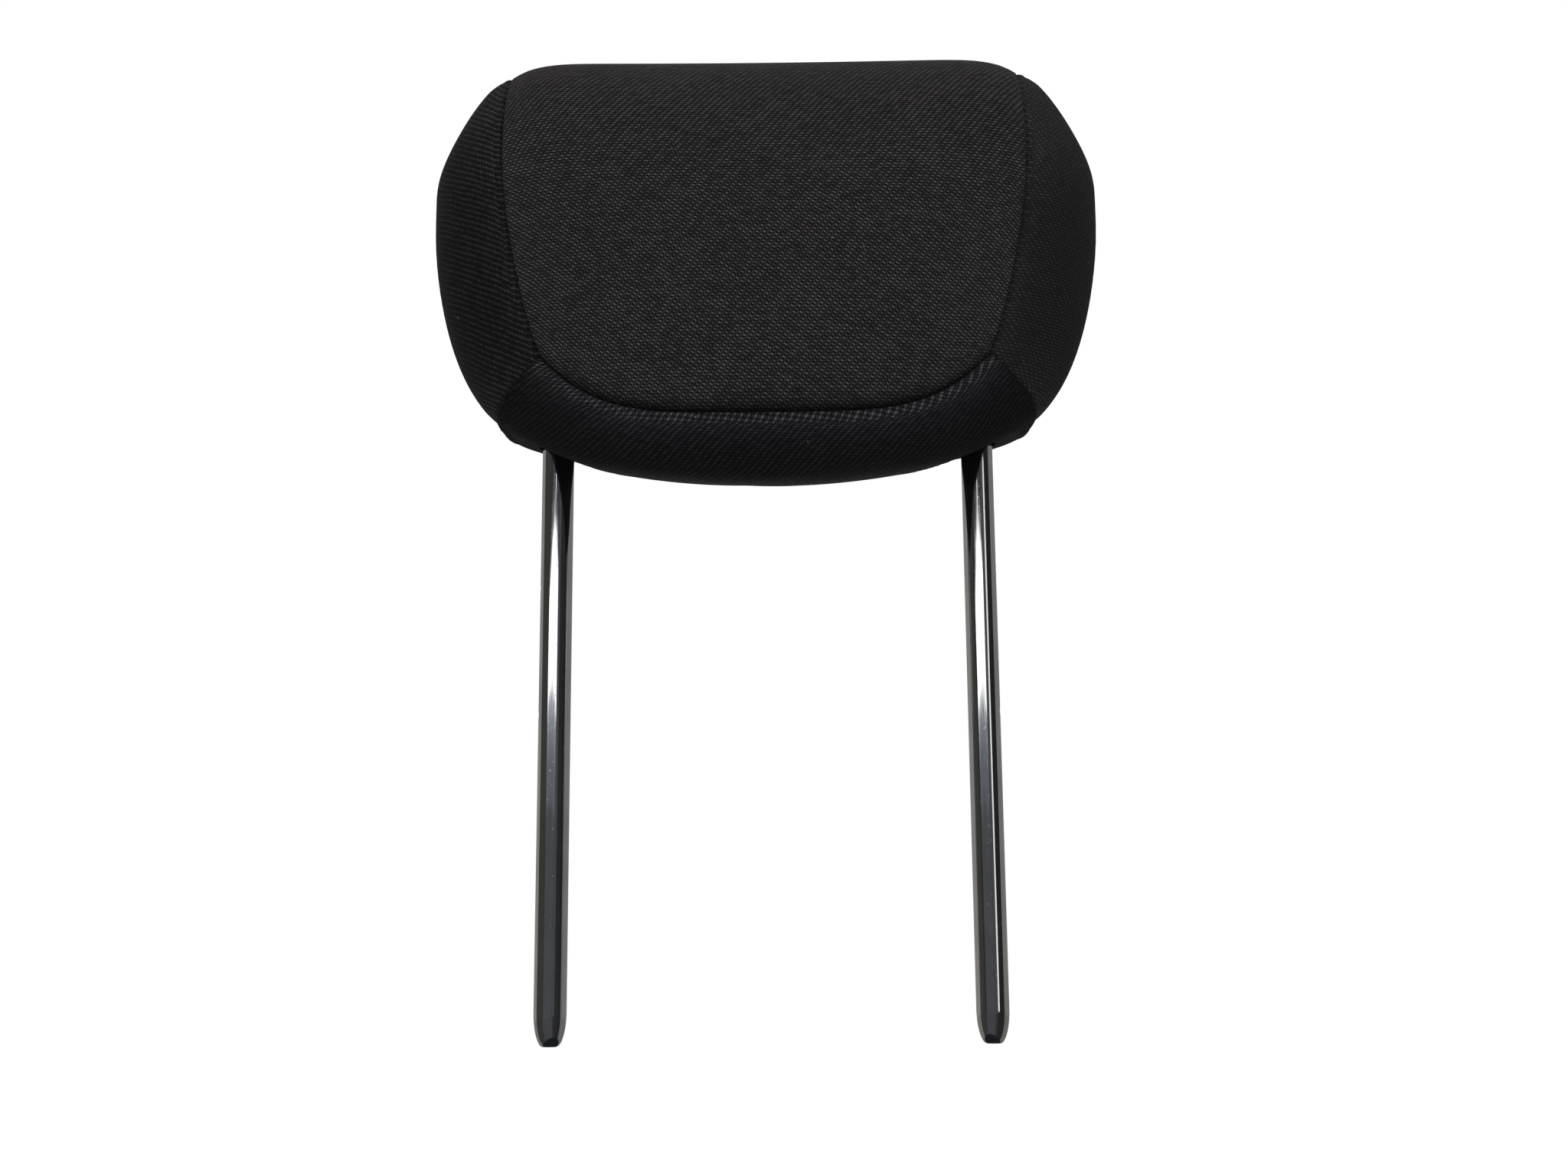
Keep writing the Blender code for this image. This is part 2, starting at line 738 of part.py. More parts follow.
def strip_station(x):
    """Seam angle and angle per metre of height along the lower back seam."""
    angle = seam_angle(x, True)
    span = body_point(angle - ANGLE_STEP, x) - body_point(angle + ANGLE_STEP, x)
    return angle, 2 * ANGLE_STEP / span.length


def strip_solid(name, outline, extra, collection, material=None):
    """Sweep an outline, given as (up, inward) places, along the lower back seam.

    Up follows the cover's inner face away from the seam, inward leads off that face.
    """
    half = STRIP_HALF_LENGTH + extra
    rings = []
    for i in range(STRIP_STATIONS):
        x = -half + 2 * half * i / (STRIP_STATIONS - 1)
        angle, rate = strip_station(x)
        depth = COVER_THICKNESS + STRIP_CLEARANCE
        rings.append([inset_point(angle - up * rate, x, depth + inward) for up, inward in outline])
    return loft(name, rings, collection, material)


def leg_steps(start, end, inward):
    """Places along a straight leg, close enough together to follow the cover."""
    count = max(int(abs(end - start) / STRIP_STEP), 1)
    return [(start + (end - start) * i / count, inward) for i in range(count + 1)]


def lower_strip_outline():
    """Strip sewn to the bottom panel: its upper edge folds in and back down."""
    sheet, hook, fold = STRIP_SHEET, STRIP_HOOK, STRIP_FOLD
    lip = fold - STRIP_LIP
    return (leg_steps(-STRIP_LEG, fold, 0.0) + [(fold, hook), (lip, hook), (lip, hook - sheet),
            (fold - sheet, hook - sheet)] + leg_steps(fold - sheet, -STRIP_LEG, sheet))


def upper_strip_outline():
    """Strip sewn to the centre panel: it passes behind the other and hooks up into its fold."""
    sheet, gap = STRIP_SHEET, CLEARANCE
    drop = STRIP_FOLD + gap
    behind = STRIP_HOOK + gap
    turn = STRIP_FOLD - STRIP_LIP - gap
    inner = sheet + gap
    tip = STRIP_FOLD - sheet - gap
    front = STRIP_HOOK - sheet - gap
    return (leg_steps(STRIP_LEG, drop, 0.0) + [(drop, behind), (turn, behind), (turn, front), (tip, front),
            (tip, inner), (turn - sheet, inner), (turn - sheet, behind + sheet),
            (drop + sheet, behind + sheet)] + leg_steps(drop + sheet, STRIP_LEG, sheet))


def channel_outline():
    """Groove that the foam leaves for both strips."""
    side = STRIP_LEG + PAD_CLEARANCE
    depth = STRIP_HOOK + STRIP_SHEET + CLEARANCE + PAD_CLEARANCE
    return leg_steps(-side, side, -CUT_MARGIN) + leg_steps(side, -side, depth)


# Steel bar

def bar_path():
    """Points and thickness factors along the bar, from the left tip to the right tip."""
    flat = TIP_FLAT_DIAMETER / BAR_DIAMETER
    left = []
    for i in range(TIP_STEPS + 1):
        share = i / TIP_STEPS
        factor = flat + (1 - flat) * (1 - (1 - share) ** TIP_BULGE) ** TIP_BLUNTNESS
        left.append((-POST_X, TIP_LENGTH * share ** TIP_CROWDING, factor))
    centre_x, centre_z = POST_X - BAR_BEND_RADIUS, BAR_TOP - BAR_BEND_RADIUS
    for i in range(BEND_STEPS + 1):
        turn = pi / 2 * i / BEND_STEPS
        x = -centre_x - BAR_BEND_RADIUS * cos(turn)
        left.append((x, centre_z + BAR_BEND_RADIUS * sin(turn), 1.0))
    right = [(-x, z, factor) for x, z, factor in reversed(left)]
    return left + right


def bar_curve(name, extra, sides):
    curve = bpy.data.curves.new(name, "CURVE")
    curve.dimensions = "3D"
    curve.bevel_depth = BAR_RADIUS + extra
    curve.bevel_resolution = sides // 2 - 2
    curve.use_fill_caps = True
    path = bar_path()
    spline = curve.splines.new("POLY")
    spline.points.add(len(path) - 1)
    for point, (x, z, factor) in zip(spline.points, path):
        point.co = (x, 0.0, z, 1.0)
        point.radius = factor
    item = bpy.data.objects.new(name, curve)
    PARTS.objects.link(item)
    bpy.context.view_layer.update()
    return item


def notch_cutter(name, side, height):
    """A wedge that leaves a flat step below and a slope above, on the post's outer back."""
    floor = BAR_RADIUS - NOTCH_DEPTH
    out = BAR_RADIUS + CUT_MARGIN
    slope = NOTCH_HEIGHT * NOTCH_SLOPE
    outline = [(floor, 0.0), (out, 0.0), (out, NOTCH_HEIGHT + slope), (floor, NOTCH_HEIGHT - slope)]
    direction = Vector((side * cos(NOTCH_TURN), sin(NOTCH_TURN), 0))
    across = Vector((-direction.y, direction.x, 0))
    foot = Vector((side * POST_X, 0, height - NOTCH_HEIGHT / 2))
    rings = []
    for reach in (-BAR_DIAMETER, BAR_DIAMETER):
        rings.append([foot + across * reach + direction * d + Vector((0, 0, z)) for d, z in outline])
    return hide_cutter(loft(name, rings, CUTTERS))


def rod_frame(material):
    bar = as_mesh(bar_curve("rod_frame", 0.0, BAR_SIDES), PARTS, material)
    shade(bar)
    cut(bar, notch_cutter("lock_notch_left", -1, LOCK_NOTCH_HEIGHT))
    cut(bar, notch_cutter("lock_notch_right", 1, LOCK_NOTCH_HEIGHT))
    cut(bar, notch_cutter("stop_notch_left", -1, STOP_NOTCH_HEIGHT))
    return bar


# Plastic core

def core_outline():
    """Outline of the core in X and Z, rounded more at the top than at the foot."""
    half = CORE_WIDTH / 2
    corners = [(half, CORE_BOTTOM, CORE_FOOT_RADIUS, -90), (half, CORE_TOP, CORE_CORNER_RADIUS, 0),
               (-half, CORE_TOP, CORE_CORNER_RADIUS, 90), (-half, CORE_BOTTOM, CORE_FOOT_RADIUS, 180)]
    points = []
    for x, z, radius, start in corners:
        centre_x = x - radius if x > 0 else x + radius
        centre_z = z - radius if z == CORE_TOP else z + radius
        steps = CORE_TOP_STEPS if z == CORE_TOP else CORE_FOOT_STEPS
        for i in range(steps + 1):
            turn = radians(start + 90 * i / steps)
            points.append((centre_x + radius * cos(turn), centre_z + radius * sin(turn)))
    return points


def flat_slab(name, outline, thickness, material):
    """A flat outline given a thickness, as a 2D curve made into a mesh."""
    curve = bpy.data.curves.new(name, "CURVE")
    curve.dimensions = "2D"
    curve.fill_mode = "BOTH"
    curve.extrude = thickness / 2
    spline = curve.splines.new("POLY")
    spline.points.add(len(outline) - 1)
    spline.use_cyclic_u = True
    for point, (u, v) in zip(spline.points, outline):
        point.co = (u, v, 0.0, 1.0)
    item = bpy.data.objects.new(name, curve)
    PARTS.objects.link(item)
    bpy.context.view_layer.update()
    return as_mesh(item, PARTS, material)


def core_slab(name, side, material):
    """One half of the core as a plain slab, its outer edge rounded over."""
    thickness = CORE_HALF_DEPTH - CLEARANCE / 2
    slab = flat_slab(name, core_outline(), thickness, material)
    slab.data.transform(Matrix.Rotation(pi / 2, 4, "X"))
    slab.data.transform(Matrix.Translation((0, side * (CLEARANCE / 2 + thickness / 2), 0)))
    work = bmesh.new()
    work.from_mesh(slab.data)
    outer = side * (CORE_HALF_DEPTH - 1e-5)
    edges = [edge for edge in work.edges if all(vert.co.y * side > outer * side for vert in edge.verts)
             and len(edge.link_faces) == 2 and abs(edge.calc_face_angle(0.0)) > 1.0]
    bmesh.ops.bevel(work, geom=edges, offset=CORE_EDGE_ROUND, segments=2, profile=0.5, affect="EDGES")
    bmesh.ops.recalc_face_normals(work, faces=work.faces)
    work.to_mesh(slab.data)
    work.free()
    return slab


def cell_columns():
    """Left and right limits of the core's open cells, between its ribs and screw lands."""
    outer = POST_X - CORE_SIDE_LAND
    edges = [(RIB_THICKNESS / 2, SCREW_COLUMN_X - SCREW_LAND / 2), (SCREW_COLUMN_X + SCREW_LAND / 2, outer)]
    return edges + [(-b, -a) for a, b in edges]


def cut_cells(shell, label, side):
    """Open the half on its joint face, leaving ribs, screw lands and the outer wall."""
    bottom = CORE_BOTTOM + CORE_WALL
    pitch = (CELL_TOP - bottom + RIB_THICKNESS) / CELL_ROWS
    floor = side * (CORE_HALF_DEPTH - CORE_WALL)
    mouth = -side * CUT_MARGIN
    y_low, y_high = min(floor, mouth), max(floor, mouth)
    for column, (x_low, x_high) in enumerate(cell_columns()):
        for row in range(CELL_ROWS):
            z_low = bottom + row * pitch
            low = (x_low, y_low, z_low)
            high = (x_high, y_high, z_low + pitch - RIB_THICKNESS)
            cut(shell, box_cutter("cell_{}_{}_{}".format(label, column, row), low, high))


def screw_places():
    heights = (CORE_BOTTOM + LOWER_SCREW_OVER_FOOT, BAR_TOP - UPPER_SCREW_UNDER_BAR)
    return [(x, z) for x in (-SCREW_COLUMN_X, SCREW_COLUMN_X) for z in heights]


def clamp_screw_offset():
    """Height of a clamp screw over or under the bar's axis."""
    return BAR_RADIUS + CLEARANCE + CLAMP_THICKNESS + CLAMP_EAR / 2


def core_shell(name, side, material):
    """Rear half for side 1, front half for side -1."""
    label = "rear" if side > 0 else "front"
    shell = core_slab(name, side, material)
    cut_cells(shell, label, side)
    channel = as_mesh(bar_curve("bar_channel_" + label, CLEARANCE, CHANNEL_SIDES), CUTTERS)
    cut(shell, hide_cutter(channel))
    for i, (x, z) in enumerate(screw_places()):
        start, end = -CORE_HALF_DEPTH - CUT_MARGIN, screw_tip_y() + CLEARANCE
        hole = cylinder_cutter("screw_hole_{}_{}".format(label, i),
                               CORE_SCREW_SHANK_RADIUS + CLEARANCE, (x, start, z), (x, end, z), HOLE_SIDES)
        cut(shell, hole)
        if side < 0:
            sink = -CORE_HALF_DEPTH + CORE_SCREW_SINK
            bore = cylinder_cutter("head_bore_{}".format(i), CORE_SCREW_HEAD_RADIUS + CLEARANCE,
                                   (x, start, z), (x, sink, z), HOLE_SIDES)
            cut(shell, bore)
    for i, (x, z) in enumerate(clamp_screw_places()):
        if side > 0:
            end = clamp_front_y() + CLAMP_SCREW_LENGTH + CLEARANCE
            hole = cylinder_cutter("clamp_hole_{}".format(i), CLAMP_SCREW_SHANK_RADIUS + CLEARANCE,
                                   (x, -CUT_MARGIN, z), (x, end, z), HOLE_SIDES)
            cut(shell, hole)
    if side < 0:
        cut_clamp_pockets(shell)
    return shell


def cut_clamp_pockets(shell):
    """Room in the front half for the clamps and their screw heads."""
    reach = BAR_RADIUS + CLEARANCE + CLAMP_THICKNESS
    depth = reach + CLEARANCE
    for label, x in (("left", -CLAMP_X), ("right", CLAMP_X)):
        half = CLAMP_WIDTH / 2 + CLEARANCE
        tall = reach + CLAMP_EAR + CLEARANCE
        low = (x - half, -depth, BAR_TOP - tall)
        high = (x + half, CUT_MARGIN, BAR_TOP + tall)
        cut(shell, box_cutter("clamp_pocket_" + label, low, high))


# Bar clamps

def clamp_outline():
    """Section of a clamp in Z and Y: an ear, a half round over the bar, an ear."""
    inner = BAR_RADIUS + CLEARANCE
    outer = inner + CLAMP_THICKNESS
    foot = CLEARANCE / 2
    face = foot + CLAMP_THICKNESS
    steps = CLAMP_ARC_STEPS
    inner_start, outer_start = foot / inner, face / outer
    points = [(-(outer + CLAMP_EAR), foot)]
    for i in range(steps + 1):
        turn = pi - inner_start - (pi - 2 * inner_start) * i / steps
        points.append((inner * cos(turn), inner * sin(turn)))
    points += [(outer + CLAMP_EAR, foot), (outer + CLAMP_EAR, face)]
    for i in range(steps + 1):
        turn = outer_start + (pi - 2 * outer_start) * i / steps
        points.append((outer * cos(turn), outer * sin(turn)))
    points.append((-(outer + CLAMP_EAR), face))
    return points


def clamp_screw_places():
    offset = clamp_screw_offset()
    return [(x, BAR_TOP + way * offset) for x in (-CLAMP_X, CLAMP_X) for way in (-1, 1)]


def clamp_front_y():
    """Front face of a clamp's ears."""
    return -(CLEARANCE / 2 + CLAMP_THICKNESS)


def bar_clamp(name, x, material):
    clamp = flat_slab(name, clamp_outline(), CLAMP_WIDTH, material)
    # outline u runs along Z, outline v runs forwards along -Y, thickness runs along X
    clamp.data.transform(Matrix(((0, 0, 1, x), (0, -1, 0, 0), (1, 0, 0, BAR_TOP), (0, 0, 0, 1))))
    face_outwards(clamp)
    for way in (-1, 1):
        z = BAR_TOP + way * clamp_screw_offset()
        cutter = cylinder_cutter("{}_hole_{}".format(name, "upper" if way > 0 else "lower"),
                                 CLAMP_SCREW_SHANK_RADIUS + CLEARANCE,
                                 (x, -BAR_DIAMETER, z), (x, CUT_MARGIN, z), HOLE_SIDES)
        cut(clamp, cutter)
    return clamp


# Screws

def screw_tip_y():
    """Deepest point of the core screws, inside the rear half."""
    return -CORE_HALF_DEPTH + CORE_SCREW_SINK - CLEARANCE + CORE_SCREW_LENGTH


def screw_profile(head_radius, head_height, shank_radius, length):
    """Head up: a domed head with a tapered drive recess, over a pointed shank."""
    recess_radius, recess_depth = head_radius * SCREW_RECESS_WIDTH, head_height * SCREW_RECESS_DEPTH
    dome = head_height * SCREW_DOME
    shoulder, shoulder_drop = SCREW_DOME_SHOULDER
    return [(0.0, head_height - recess_depth), (recess_radius, head_height),
            (head_radius * shoulder, head_height - dome * shoulder_drop), (head_radius, head_height - dome),
            (head_radius, 0.0), (shank_radius, 0.0), (shank_radius, shank_radius - length),
            (0.0, -length)]


def place_screw(item, x, y, z):
    """Point the screw backwards, its head's underside at y."""
    item.rotation_euler = (pi / 2, 0, 0)
    item.location = (x, y, z)


def core_screws(material):
    profile = screw_profile(CORE_SCREW_HEAD_RADIUS, CORE_SCREW_HEAD_HEIGHT,
                            CORE_SCREW_SHANK_RADIUS, CORE_SCREW_LENGTH)
    seat = -CORE_HALF_DEPTH + CORE_SCREW_SINK - CLEARANCE
    for i, (x, z) in enumerate(screw_places(), 1):
        place_screw(turned("core_screw_{}".format(i), profile, SCREW_SIDES, material), x, seat, z)


def clamp_screws(material):
    profile = screw_profile(CLAMP_SCREW_HEAD_RADIUS, CLAMP_SCREW_HEAD_HEIGHT,
                            CLAMP_SCREW_SHANK_RADIUS, CLAMP_SCREW_LENGTH)
    seat = clamp_front_y() - CLEARANCE
    for i, (x, z) in enumerate(clamp_screw_places(), 1):
        place_screw(turned("clamp_screw_{}".format(i), profile, SCREW_SIDES, material), x, seat, z)


# Post bezels

def bezel_profile():
    """Upright bezel: a sleeve with a snap barb, over a rounded flange, bored for the post."""
    bore = BAR_RADIUS + CLEARANCE
    sleeve = bore + BEZEL_SLEEVE_WALL
    foot = BEZEL_FLANGE_TOP - BEZEL_FLANGE_THICKNESS
    barb_foot = BEZEL_SEAT_HEIGHT + COVER_THICKNESS + BEZEL_BARB
    edge = BEZEL_EDGE_ROUND
    return [(bore, BEZEL_TOP), (sleeve, BEZEL_TOP), (sleeve + BEZEL_BARB, barb_foot + BEZEL_BARB),
            (sleeve + BEZEL_BARB, barb_foot), (sleeve, barb_foot), (sleeve, BEZEL_FLANGE_TOP),
            (BEZEL_FLANGE_RADIUS, BEZEL_FLANGE_TOP), (BEZEL_FLANGE_RADIUS, foot + edge),
            (BEZEL_FLANGE_RADIUS - edge, foot), (bore + edge, foot), (bore, foot + edge)]


def post_bezels(material):
    for label, x in (("left", -POST_X), ("right", POST_X)):
        bezel = turned("post_bezel_" + label, bezel_profile(), BEZEL_SIDES, material, ring=True)
        bezel.location.x = x


clear_scene()
PARTS = new_collection("car_headrest")
CUTTERS = new_collection("cutters")

finish = {name: make_material(name) for name in MATERIALS}
rod_frame(finish["chrome"])
core_shell("core_rear_shell", 1, finish["core_plastic"])
core_shell("core_front_shell", -1, finish["core_plastic"])
core_screws(finish["zinc_steel"])
bar_clamp("bar_clamp_left", -CLAMP_X, finish["zinc_steel"])
bar_clamp("bar_clamp_right", CLAMP_X, finish["zinc_steel"])
clamp_screws(finish["zinc_steel"])
foam_pad(finish["foam"])
hide_cutter(bpy.data.objects["strip_channel"])
strip_solid("closing_strip_lower", lower_strip_outline(), 0.0, PARTS, finish["strip_plastic"])
strip_solid("closing_strip_upper", upper_strip_outline(), 0.0, PARTS, finish["strip_plastic"])
centre_panel(finish["seat_fabric"])
side_panel("cover_side_panel_left", -1, finish["side_fabric"])
side_panel("cover_side_panel_right", 1, finish["side_fabric"])
bottom_panel(finish["side_fabric"])
post_bezels(finish["bezel_plastic"])
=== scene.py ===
"""Looks of the car headrest: woven cover panels, chrome posts, trim, stage and camera."""

import bpy
import bmesh
import numpy as np
from math import cos, pi, radians, sin, tan
from mathutils import Matrix, Vector

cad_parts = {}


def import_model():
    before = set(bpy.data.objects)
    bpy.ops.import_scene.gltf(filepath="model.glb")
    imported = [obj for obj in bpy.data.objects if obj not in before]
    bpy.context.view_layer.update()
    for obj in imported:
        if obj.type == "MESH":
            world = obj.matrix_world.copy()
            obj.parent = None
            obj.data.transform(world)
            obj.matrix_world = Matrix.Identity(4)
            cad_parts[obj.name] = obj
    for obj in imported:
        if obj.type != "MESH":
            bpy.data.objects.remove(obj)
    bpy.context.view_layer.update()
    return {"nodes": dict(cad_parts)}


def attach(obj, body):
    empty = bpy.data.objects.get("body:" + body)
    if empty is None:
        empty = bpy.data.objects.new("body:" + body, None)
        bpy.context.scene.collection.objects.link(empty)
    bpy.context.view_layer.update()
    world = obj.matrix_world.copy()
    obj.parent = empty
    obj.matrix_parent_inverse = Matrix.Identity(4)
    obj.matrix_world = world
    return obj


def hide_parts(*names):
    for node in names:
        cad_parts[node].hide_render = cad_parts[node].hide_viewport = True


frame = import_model()

MM = 0.001
TURN = 2 * pi

# Camera, solved from the perspective of the two posts
PHOTO_WIDTH = 2048
FOCAL_PIXELS = 2400
SENSOR_WIDTH = 36.0
LOOK_AT = Vector((5.9 * MM, 0.0, 167.6 * MM))
CAMERA_DISTANCE = 0.6935
CAMERA_PITCH = radians(10.9)
CAMERA_ROLL = radians(0.49)
CAMERA_YAW = radians(0.3)

# Form of the cushion, as in the part
HALF_WIDTH = 127.5 * MM
CUSHION_TOP = 378.4 * MM
CUSHION_BOTTOM = 201.4 * MM
FULLEST_HEIGHT_MIDDLE = 284.8 * MM
FULLEST_HEIGHT_SIDES = 320.0 * MM
FRONT_REACH = 53.5 * MM
BACK_REACH = 45.0 * MM
CUSHION_AXIS_Y = 2.0 * MM
UNDERSIDE_SLOPE = 0.28
UNDERSIDE_LOW_Y = -25.0 * MM
SIDE_VIEW_ROUNDNESS = {"top_front": 2.05, "top_back": 2.4, "low_front": 4.0, "low_back": 3.2}
ACROSS_TOP = (14.7, 2.7, 2.25)
ACROSS_LEVEL = (3.3, 2.6, 2.6)
ACROSS_BELOW = (2.16, 2.8, 2.25)
SIDE_END_POWER = 12

# Post seats under the cushion, whose outer slopes rise over the form by no more than the edge lift
POST_X = 80.0 * MM
BAR_RADIUS = 6.0 * MM
SEAT_HEIGHT = 224.0 * MM
SEAT_RADIUS = 13.0 * MM
SEAT_BLEND = 12.0 * MM
SEAT_EDGE_LIFT = 2.4 * MM

# Seams of the cover
CORNER_HALF_WIDTH = 82.5 * MM
TOP_HALF_WIDTH = 99.2 * MM
WIDENING_HEIGHT = 95.0 * MM
WIDENING_POWER = 2.3
CORNER_HEIGHT = 244.2 * MM
MITRE_SLOPE = 0.85
FRONT_SEAM_HEIGHT = 221.6 * MM
REAR_SEAM_HEIGHT = 238.5 * MM
CORNER_POWER = 4.2
SEAM_GAP = 0.45 * MM
SEAM_CORD_RADIUS = 1.3 * MM
SEAM_CORD_DEPTH = 3.2 * MM

# Shares of the way round at which the form's quarters meet, and how the angle crowds there
STRAP_FRONT_SHARE = 0.19
STRAP_REAR_SHARE = 0.86
UNDER_FRONT_SHARE = 0.52
FRONT_CROWDING = 2.0
REAR_CROWDING = 1.6

# Weave: a three-end twill
WEAVE_REPEAT = 2.45 * MM
PICK_PITCH = 1.19 * MM

LEAN_HEIGHTS = (0.300, 0.345)
# Painted shade: the near black that the cloth goes towards where its painted shading is low, as in seam
# folds
PAINTED_SHADE_BLACK = (0.0006, 0.0006, 0.0008)
LINT_COLOUR = (0.14, 0.12, 0.10)

# Panels: rows and columns of their grids, and how their weave is stretched and wrapped
CENTRE_GRID = (150, 120)
BOTTOM_GRID = (70, 130)
SIDE_GRID = 96
BOTTOM_STRETCH = -1.2
SIDE_STRETCH = 1.05
WRAP_X = 75 * MM
WRAP_HALF_WIDTH = 52 * MM
WRAP_RADIUS = 50 * MM
SEAM_SHADE_REACH = 1.2 * MM
COVER_THICKNESS = 1.3 * MM
POST_HOLE_RADIUS = 7.1 * MM

# Cloth: it starts inside its form away from its pinned edges, and its movement is limited. The
# pressure hardly lifts it, so most of it ends at the limit for sinking, close to the form
START_INSIDE = 1.0 * MM
START_REACH = 16 * MM
PIN_REACH = 1.5 * MM
SWELL_LIMIT = 1.4 * MM
SINK_LIMIT = 0.2 * MM
SLIDE_LIMIT = 0.5 * MM
CLOTH_FRAMES = 20
CLOTH_PRESSURE = 8

# Bar
BAR_TOP = 338.0 * MM
BAR_BEND_RADIUS = 30.0 * MM
TIP_LENGTH = 12.0 * MM
TIP_FLAT_RADIUS = 2.9 * MM
NOTCH_DEPTH = 1.7 * MM
NOTCH_HEIGHT = 4.5 * MM
NOTCH_TURN = radians(27)
LOCK_NOTCH_HEIGHT = 121.3 * MM
STOP_NOTCH_HEIGHT = 169.3 * MM
BAR_SIDES = 96
TIP_RINGS = 14
POST_RINGS = 60
BEND_RINGS = 16

# Bezels
BEZEL_BORE = 6.3 * MM
BEZEL_NECK = 8.0 * MM
BEZEL_FLANGE = 8.4 * MM
BEZEL_TOP = SEAT_HEIGHT + 2.2 * MM
BEZEL_DEPTH = 12 * MM
BEZEL_SIDES = 72

# Stage
WHITE = (1.0, 1.0, 1.0)
FLOOR_HEIGHT = -0.25
GROUND_HEIGHT = FLOOR_HEIGHT + 10 * MM
UNDER_RADIUS = 0.30
GROUND_RADIUS = 2.8
CARDS_CENTRE = Vector((0, 0, 130 * MM))


# Form of the cushion, on arrays of profile angles and places across

def smooth_step(value):
    value = np.clip(value, 0.0, 1.0)
    return value * value * (3 - 2 * value)


def form(angle, x):
    """Points of the cushion's outer form: angle 0 is the front, a quarter turn the top."""
    angle, x = np.broadcast_arrays(np.asarray(angle, float), np.asarray(x, float))
    ca, sa = np.cos(angle), np.sin(angle)
    above, front = sa >= 0, ca >= 0
    roundness = SIDE_VIEW_ROUNDNESS
    exponent = np.where(above, np.where(front, roundness["top_front"], roundness["top_back"]),
                        np.where(front, roundness["low_front"], roundness["low_back"]))
    share = np.clip(np.abs(x) / HALF_WIDTH, 0.0, 1.0)
    outwards, at_end = 1 - (1 - share ** 2) ** 2, share ** SIDE_END_POWER
    across = 0.0
    for weight, (middle, side, end) in ((ca ** 2, ACROSS_LEVEL),
                                        (np.maximum(sa, 0) ** 2, ACROSS_TOP),
                                        (np.maximum(-sa, 0) ** 2, ACROSS_BELOW)):
        across = across + weight * (middle + (side - middle) * outwards + (end - side) * at_end)
    fullness = np.maximum(1 - share ** across, 0.0) ** (1 / across)
    fullest = FULLEST_HEIGHT_MIDDLE + (FULLEST_HEIGHT_SIDES - FULLEST_HEIGHT_MIDDLE) * share ** 2
    reach = np.where(front, FRONT_REACH, BACK_REACH)
    rise = np.where(above, CUSHION_TOP - fullest, fullest - CUSHION_BOTTOM)
    y = CUSHION_AXIS_Y - fullness * reach * np.sign(ca) * np.abs(ca) ** (2 / exponent)
    z = fullest + fullness * rise * np.sign(sa) * np.abs(sa) ** (2 / exponent)
    below = np.clip((fullest - z) / (fullest - CUSHION_BOTTOM), 0.0, 1.0) ** 2
    z = z + UNDERSIDE_SLOPE * (y - UNDERSIDE_LOW_Y) * below
    from_post = np.hypot(np.abs(x) - POST_X, y)
    keep = np.where(above, 1.0, smooth_step((from_post - SEAT_RADIUS) / SEAT_BLEND))
    seated = SEAT_HEIGHT + (z - SEAT_HEIGHT) * keep
    z = seated + SEAT_EDGE_LIFT * np.tanh(np.maximum(z - seated, 0.0) / SEAT_EDGE_LIFT)
    return np.stack([x, y, z], axis=-1)


def outward(angle, x):
    """Outward directions of the form."""
    step_angle, step_x = 0.004, 0.4 * MM
    x = np.clip(x, 2 * step_x - HALF_WIDTH, HALF_WIDTH - 2 * step_x)
    along = form(angle + step_angle, x) - form(angle - step_angle, x)
    across = form(angle, x + step_x) - form(angle, x - step_x)
    normal = np.cross(across, along)
    return normal / np.linalg.norm(normal, axis=-1, keepdims=True)


def find_root(function, low, high, rounds=36):
    """Where an increasing or decreasing function of an array changes sign."""
    low, high = np.array(low, float), np.array(high, float)
    start = function(low) > 0
    for _ in range(rounds):
        middle = (low + high) / 2
        same = (function(middle) > 0) == start
        low, high = np.where(same, middle, low), np.where(same, high, middle)
    return (low + high) / 2


# Seam lines

def strap_half_width(angle):
    """Half width of the centre panel, which widens upwards."""
    height = form(angle, CORNER_HALF_WIDTH)[..., 2]
    rise = np.clip((height - CORNER_HEIGHT) / WIDENING_HEIGHT, 0.0, 1.0)
    widening = 1 - (1 - rise) ** WIDENING_POWER
    return CORNER_HALF_WIDTH + (TOP_HALF_WIDTH - CORNER_HALF_WIDTH) * widening


def above_mitre(points):
    """Height of points over the sloping seam between the bottom and a side panel."""
    fall = MITRE_SLOPE * (np.abs(points[..., 0]) - CORNER_HALF_WIDTH)
    return points[..., 2] - (CORNER_HEIGHT - fall)


def corner_angle(back):
    low, high = (pi, 1.5 * pi) if back else (0.0, -0.5 * pi)
    return float(find_root(lambda a: above_mitre(form(a, strap_half_width(a))), low, high))


FRONT_CORNER = corner_angle(False)
BACK_CORNER = corner_angle(True)


def seam_angle(x, back, shift=0.0):
    """Profile angle of the lower seam of the centre panel, in front or behind."""
    corner = BACK_CORNER if back else FRONT_CORNER
    low_height = REAR_SEAM_HEIGHT if back else FRONT_SEAM_HEIGHT
    corner_x = float(strap_half_width(corner))
    corner_height = float(form(corner, corner_x)[2])
    x = np.minimum(np.abs(x), corner_x)
    rise = (corner_height - low_height) * (x / corner_x) ** CORNER_POWER
    height = low_height + rise + shift
    low, high = (pi, 1.47 * pi) if back else (0.0, -0.47 * pi)
    start = np.full(np.shape(x), low)
    return find_root(lambda a: form(a, x)[..., 2] - height, start, np.full(np.shape(x), high))


def mitre_x(angle, shift):
    """Where the sloping seam crosses a profile angle."""
    low, high = np.zeros(np.shape(angle)), np.full(np.shape(angle), HALF_WIDTH * 0.9999)
    return find_root(lambda x: above_mitre(form(angle, x)) - shift, low, high)


# Grids over the panels, closer together next to the seams

